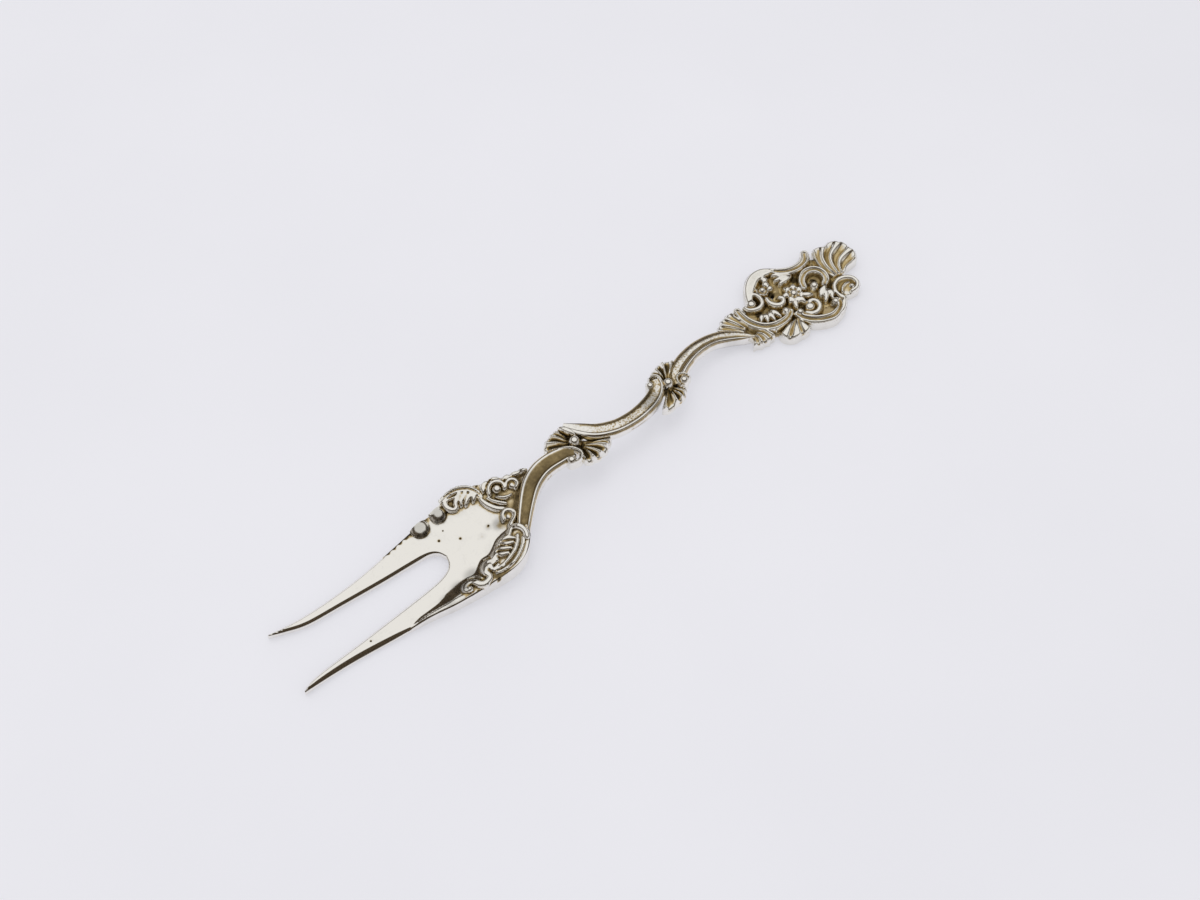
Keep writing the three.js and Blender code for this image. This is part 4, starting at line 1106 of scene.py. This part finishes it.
# How deep each point lies in the relief, from a height map of the whole fork
MAP_CELL = 0.14
MAP_MARGIN = 2.5
FINIAL_START = 36
FINIAL_WEAR = 0.8
HORIZON_STEPS = (0.18, 0.32, 0.5, 0.75, 1.1, 1.6)
HORIZON_WAYS = 16
HORIZON_SLACK = 0.03
UPWARD_SHARE = 0.6
LEAST_SHARE = 0.02
LEVEL_NORMAL = 0.4
BOTH_SHARE = 0.3
SHARP_ANGLE = math.radians(50)


def height_map(all_points):
    low = all_points[:, :2].min(0) - MAP_MARGIN
    size = np.ceil((all_points[:, :2].max(0) + MAP_MARGIN - low) / MAP_CELL).astype(int) + 1
    heights = np.full(size, -1.0)
    at = ((all_points[:, :2] - low) / MAP_CELL).astype(int)
    np.maximum.at(heights, (at[:, 0], at[:, 1]), all_points[:, 2])
    spread = heights.copy()
    for dx, dy in ((1, 0), (-1, 0), (0, 1), (0, -1)):
        near = np.roll(np.roll(heights, dx, 0), dy, 1)
        spread = np.where((spread < 0) & (near > 0), near, spread)
    return low, spread


def recess(points, normals, low, heights):
    """0 on open ground, towards 1 in deep and narrow places."""
    flat = np.linalg.norm(normals[:, :2], axis=1)
    total = np.zeros(len(points))
    weight = np.zeros(len(points))
    for angle in full_turn(HORIZON_WAYS):
        way = np.array([math.cos(angle), math.sin(angle)])
        steep = np.zeros(len(points))
        for reach in HORIZON_STEPS:
            at = ((points[:, :2] + way * reach - low) / MAP_CELL).astype(int)
            at = np.clip(at, 0, np.array(heights.shape) - 1)
            rise = heights[at[:, 0], at[:, 1]] - points[:, 2] - HORIZON_SLACK
            steep = np.maximum(steep, rise / reach)
        facing = np.clip(normals[:, 2], 0, 1) * UPWARD_SHARE + np.clip(normals[:, :2] @ way, -flat, 1)
        share = np.clip(facing, LEAST_SHARE, 1)
        total += share / (1 + steep**2)
        weight += share
    hidden = 1 - total / weight
    return hidden * smoothstep(0, LEVEL_NORMAL, normals[:, 2])


def in_scene(name, data):
    thing = bpy.data.objects.new(name, data)
    bpy.context.scene.collection.objects.link(thing)
    return thing


def mesh_of(name, points, faces):
    """An object whose faces all look outwards, still in millimetres."""
    mesh = bpy.data.meshes.new(name)
    mesh.from_pydata(points.tolist(), [], faces)
    mesh.update()
    turned = bmesh.new()
    turned.from_mesh(mesh)
    bmesh.ops.recalc_face_normals(turned, faces=turned.faces)
    turned.to_mesh(mesh)
    turned.free()
    return in_scene(name, mesh)


# Materials
CLOUD_SCALE = 420
GRAIN_SCALE = 3000
FINE_SCALE = 1900
BLOTCHES = 0.45
SPECKS = 0.25
STIPPLE_FLOOR = 0.45
STIPPLE = 2.0
WORN_SHARE = 0.9
FINE_HEIGHT = 0.12


def new_material(name):
    material = bpy.data.materials.new(name)
    material.use_nodes = True
    tree = material.node_tree
    place = tree.nodes.new("ShaderNodeTexCoord").outputs["Object"]
    return material, tree, tree.nodes["Principled BSDF"], place


def link(tree, *pairs):
    for source, target in pairs:
        tree.links.new(source, target)


def ramp(tree, stops):
    node = tree.nodes.new("ShaderNodeValToRGB")
    elements = node.color_ramp.elements
    while len(elements) < len(stops):
        elements.new(0.5)
    for element, (place, colour) in zip(elements, stops):
        element.position = place
        element.color = (*colour, 1)
    return node


def math_node(tree, operation, first, second, clamp=False):
    node = tree.nodes.new("ShaderNodeMath")
    node.operation = operation
    node.use_clamp = clamp
    for socket, value in zip(node.inputs, (first, second)):
        if isinstance(value, (int, float)):
            socket.default_value = value
        else:
            tree.links.new(value, socket)
    return node.outputs[0]


def noise(tree, scale, detail, source):
    node = tree.nodes.new("ShaderNodeTexNoise")
    node.inputs["Scale"].default_value = scale
    node.inputs["Detail"].default_value = detail
    tree.links.new(source, node.inputs["Vector"])
    return node.outputs["Fac"]


def centred(tree, source, amount):
    """A noise that swings evenly round nought."""
    return math_node(tree, "MULTIPLY", math_node(tree, "SUBTRACT", source, 0.5), amount)


def attribute(tree, name):
    node = tree.nodes.new("ShaderNodeAttribute")
    node.attribute_name = name
    return node.outputs["Fac"]


def bump(tree, shader, height, strength, distance):
    node = tree.nodes.new("ShaderNodeBump")
    node.inputs["Strength"].default_value = strength
    node.inputs["Distance"].default_value = distance
    link(tree, (height, node.inputs["Height"]), (node.outputs["Normal"], shader.inputs["Normal"]))


def silver(name, clean, gold, tarnish, oxide, shine):
    """Silver that turns golden and then dark where the recess attribute rises. Its greying attribute, partly
    painted shade and reflection, makes it greyer.
    """
    material, tree, shader, place = new_material(name)
    matting = attribute(tree, "matting")
    grain = noise(tree, GRAIN_SCALE, 2, place)
    fine = noise(tree, FINE_SCALE, 3, place)
    blotch = centred(tree, noise(tree, CLOUD_SCALE, 4, place), BLOTCHES)
    age = math_node(tree, "ADD", attribute(tree, "recess"), blotch)
    age = math_node(tree, "ADD", age, centred(tree, fine, SPECKS), True)
    stipple = math_node(tree, "SUBTRACT", grain, STIPPLE_FLOOR, True)
    stipple = math_node(tree, "MULTIPLY", stipple, matting)
    age = math_node(tree, "ADD", age, math_node(tree, "MULTIPLY", stipple, STIPPLE), True)
    worn = tuple(WORN_SHARE * share for share in clean)
    colour = ramp(tree, [(0.02, clean), (0.2, worn), (0.38, gold), (0.62, tarnish), (0.95, oxide)])
    gloss = ramp(tree, [(0.15, (shine,) * 3), (0.45, (0.3,) * 3), (0.8, (0.46,) * 3)])
    dulled = tree.nodes.new("ShaderNodeVectorMath")
    dulled.operation = "SCALE"
    clear = math_node(tree, "SUBTRACT", 1, attribute(tree, "film"))
    link(tree, (age, colour.inputs["Fac"]), (age, gloss.inputs["Fac"]),
         (colour.outputs["Color"], dulled.inputs[0]), (clear, dulled.inputs["Scale"]),
         (dulled.outputs["Vector"], shader.inputs["Base Color"]),
         (gloss.outputs["Color"], shader.inputs["Roughness"]))
    shader.inputs["Metallic"].default_value = 1.0
    height = math_node(tree, "ADD", math_node(tree, "MULTIPLY", grain, matting),
                       math_node(tree, "MULTIPLY", fine, FINE_HEIGHT))
    bump(tree, shader, height, 0.25, 0.00004)
    return material


POLISHED = silver("silver_polished", clean=(0.94, 0.92, 0.88), gold=(0.62, 0.5, 0.3),
                  tarnish=(0.33, 0.25, 0.125), oxide=(0.06, 0.043, 0.022), shine=0.1)
CHASED = silver("silver_chased", clean=(0.92, 0.9, 0.85), gold=(0.64, 0.5, 0.26),
                tarnish=(0.34, 0.25, 0.105), oxide=(0.06, 0.043, 0.02), shine=0.19)
CASTINGS = ("blade", "neck", "lower_knop", "middle_stem", "upper_knop", "upper_stem", "finial_frame")


# Pieces
def to_frame(points):
    moved = points.copy()
    moved[:, :2] += DRAWING_SHIFT
    return moved * MM


def triples(items, field):
    values = np.empty(len(items) * 3)
    items.foreach_get(field, values)
    return values.reshape(-1, 3)


works = {}
seen = []
for piece_name, (points, faces, _) in pieces.items():
    works[piece_name] = mesh_of(piece_name + "_silver", points, faces)
    mesh = works[piece_name].data
    seen += [triples(mesh.vertices, "co"), triples(mesh.polygons, "center")]
map_low, map_heights = height_map(np.vstack(seen))

for piece_name, work in works.items():
    mesh = work.data
    points = triples(mesh.vertices, "co")
    tarnish, matting = pieces[piece_name][2].T
    depth = recess(points, triples(mesh.vertex_normals, "vector"), map_low, map_heights)
    depth *= np.where(points[:, 0] > FINIAL_START, FINIAL_WEAR, 1)
    if piece_name == "blade":
        depth = np.maximum(depth, blade_stains(points))
    # The recess attribute also takes the painted shade of notches and openings
    depth = np.maximum(depth, np.maximum(slit_stains(points), hollow_stains(points)))
    depth = np.maximum(depth, tarnish) + BOTH_SHARE * np.minimum(depth, tarnish)
    # The greying layer carries painted shade and painted reflection
    for layer_name, values in (("recess", depth), ("matting", matting), ("film", film(points))):
        layer = mesh.attributes.new(layer_name, "FLOAT", "POINT")
        layer.data.foreach_set("value", values.astype(np.float32))
    mesh.vertices.foreach_set("co", to_frame(points).astype(np.float32).ravel())
    mesh.polygons.foreach_set("use_smooth", np.ones(len(mesh.polygons), bool))
    mesh.set_sharp_from_angle(angle=SHARP_ANGLE)
    mesh.update()
    casting = piece_name in CASTINGS
    mesh.materials.append(POLISHED if casting else CHASED)
    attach(work, "root")
    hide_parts(piece_name)


# Stage, light and camera
PAPER_TONE = 0.45


def paper(name):
    """White paper. Part of what camera and silver see of it is its own tone, so that shadows stay light."""
    material, tree, shader, place = new_material(name)
    tone = ramp(tree, [(0.35, (0.78, 0.78, 0.83)), (0.65, (0.81, 0.81, 0.86))])
    link(tree, (noise(tree, 14, 4, place), tone.inputs["Fac"]),
         (tone.outputs["Color"], shader.inputs["Base Color"]))
    bump(tree, shader, noise(tree, 60, 3, place), 0.08, 0.002)
    shader.inputs["Roughness"].default_value = 0.9
    glow = tree.nodes.new("ShaderNodeEmission")
    glow.inputs["Color"].default_value = (0.87, 0.87, 0.93, 1)
    rays = tree.nodes.new("ShaderNodeLightPath")
    seen = math_node(tree, "MAXIMUM", rays.outputs["Is Camera Ray"], rays.outputs["Is Glossy Ray"])
    seen = math_node(tree, "MAXIMUM", seen, rays.outputs["Is Transmission Ray"])
    blend = tree.nodes.new("ShaderNodeMixShader")
    link(tree, (math_node(tree, "MULTIPLY", seen, PAPER_TONE), blend.inputs["Fac"]),
         (shader.outputs["BSDF"], blend.inputs[1]), (glow.outputs["Emission"], blend.inputs[2]),
         (blend.outputs["Shader"], tree.nodes["Material Output"].inputs["Surface"]))
    return material


def stage_mesh(name, points, faces, material):
    mesh = bpy.data.meshes.new(name)
    mesh.from_pydata(points, [], faces)
    mesh.materials.append(material)
    thing = in_scene(name, mesh)
    return thing


FLOOR_HALF = 3.0
floor_corners = [(-FLOOR_HALF, -FLOOR_HALF, 0), (FLOOR_HALF, -FLOOR_HALF, 0), (FLOOR_HALF, FLOOR_HALF, 0),
                 (-FLOOR_HALF, FLOOR_HALF, 0)]
stage_mesh("floor", floor_corners, [(0, 1, 2, 3)], paper("paper"))

CAMERA_AZIMUTH = math.radians(-41.7)
CAMERA_ELEVATION = math.radians(57)
CAMERA_DISTANCE = 0.3346
AIM = np.array([-0.8, -4.1, 2.0])


def direction(azimuth, elevation):
    flat = math.cos(elevation)
    return Vector((math.sin(azimuth) * flat, -math.cos(azimuth) * flat, math.sin(elevation)))


# Dark flags round the set, which only the silver mirrors: low on the window side, high beside the camera
FLAG_RADIUS = 0.7
FLAG_LOW = math.radians(33)
FLAG_HIGH = math.radians(56)
FLAG_FOOT = math.radians(20)
WINDOW_AZIMUTH = math.radians(175)
FLAG_AZIMUTH = math.radians(145)
FLAG_START = 0.03
FLAG_TURNS = 72
FLAG_RISES = (0, 0.25, 1)
LEAST_FOOT = 0.05
FOOT_FADE = 0.2


def flags():
    """A ring of cloth. Its foot is paler, apart from the window side, and its upper edge is soft."""
    points = []
    for k in range(FLAG_TURNS):
        azimuth = 2 * math.pi * k / FLAG_TURNS
        lean = 0.5 + 0.5 * math.cos(azimuth - FLAG_AZIMUTH)
        foot = FLAG_FOOT * min(1, LEAST_FOOT + (1 - lean) / FOOT_FADE)
        top = FLAG_HIGH + (FLAG_LOW - FLAG_HIGH) * lean
        way = direction(azimuth, 0) * FLAG_RADIUS
        angles = (FLAG_START, FLAG_START + foot, top)
        points += [(way.x, way.y, FLAG_RADIUS * math.tan(angle)) for angle in angles]
    rows = len(FLAG_RISES)
    faces = []
    for k in range(FLAG_TURNS):
        a, b = k * rows, (k + 1) % FLAG_TURNS * rows
        faces += [(a + row, a + row + 1, b + row + 1, b + row) for row in range(rows - 1)]
    material, tree, shader, place = new_material("flag_cloth")
    worn = centred(tree, noise(tree, 5, 3, place), 0.12)
    tone = ramp(tree, [(0.18, (0.5, 0.47, 0.43)), (0.32, (0.055, 0.038, 0.02)), (0.86, (0.09, 0.062, 0.032)),
                       (1, (0.6, 0.57, 0.52))])
    link(tree, (math_node(tree, "ADD", attribute(tree, "rise"), worn, True), tone.inputs["Fac"]),
         (tone.outputs["Color"], shader.inputs["Base Color"]))
    shader.inputs["Roughness"].default_value = 1.0
    ring = stage_mesh("flags", points, faces, material)
    layer = ring.data.attributes.new("rise", "FLOAT", "POINT")
    layer.data.foreach_set("value", FLAG_RISES * FLAG_TURNS)
    ring.visible_camera = False
    ring.visible_diffuse = False
    ring.visible_shadow = False


flags()

world = bpy.data.worlds.new("studio")
world.use_nodes = True
bpy.context.scene.world = world
background = world.node_tree.nodes["Background"]
background.inputs["Color"].default_value = (1.0, 0.99, 0.97, 1)
background.inputs["Strength"].default_value = 0.84

aim = Vector(to_frame(AIM[None])[0])
KEY_DISTANCE = 0.62
KEY_ELEVATION = math.radians(74)
KEY_AIM = Vector((-0.035, 0.045, 0))
key = bpy.data.lights.new("key", "SPOT")
key.spot_size = math.radians(44)
key.spot_blend = 1.0
key.shadow_soft_size = 0.3
key.energy = 6.2
key_lamp = in_scene("key", key)
key_lamp.location = aim + direction(WINDOW_AZIMUTH, KEY_ELEVATION) * KEY_DISTANCE
key_lamp.rotation_euler = (KEY_AIM - key_lamp.location).to_track_quat("-Z", "Y").to_euler()
key_lamp.visible_glossy = False

camera = bpy.data.cameras.new("camera")
camera.lens = 50
camera.sensor_width = 36
camera.clip_start = 0.01
viewer = in_scene("camera", camera)
viewer.location = aim + direction(CAMERA_AZIMUTH, CAMERA_ELEVATION) * CAMERA_DISTANCE
viewer.rotation_euler = (aim - viewer.location).to_track_quat("-Z", "Y").to_euler()
bpy.context.scene.camera = viewer
bpy.context.scene.view_settings.view_transform = "Standard"
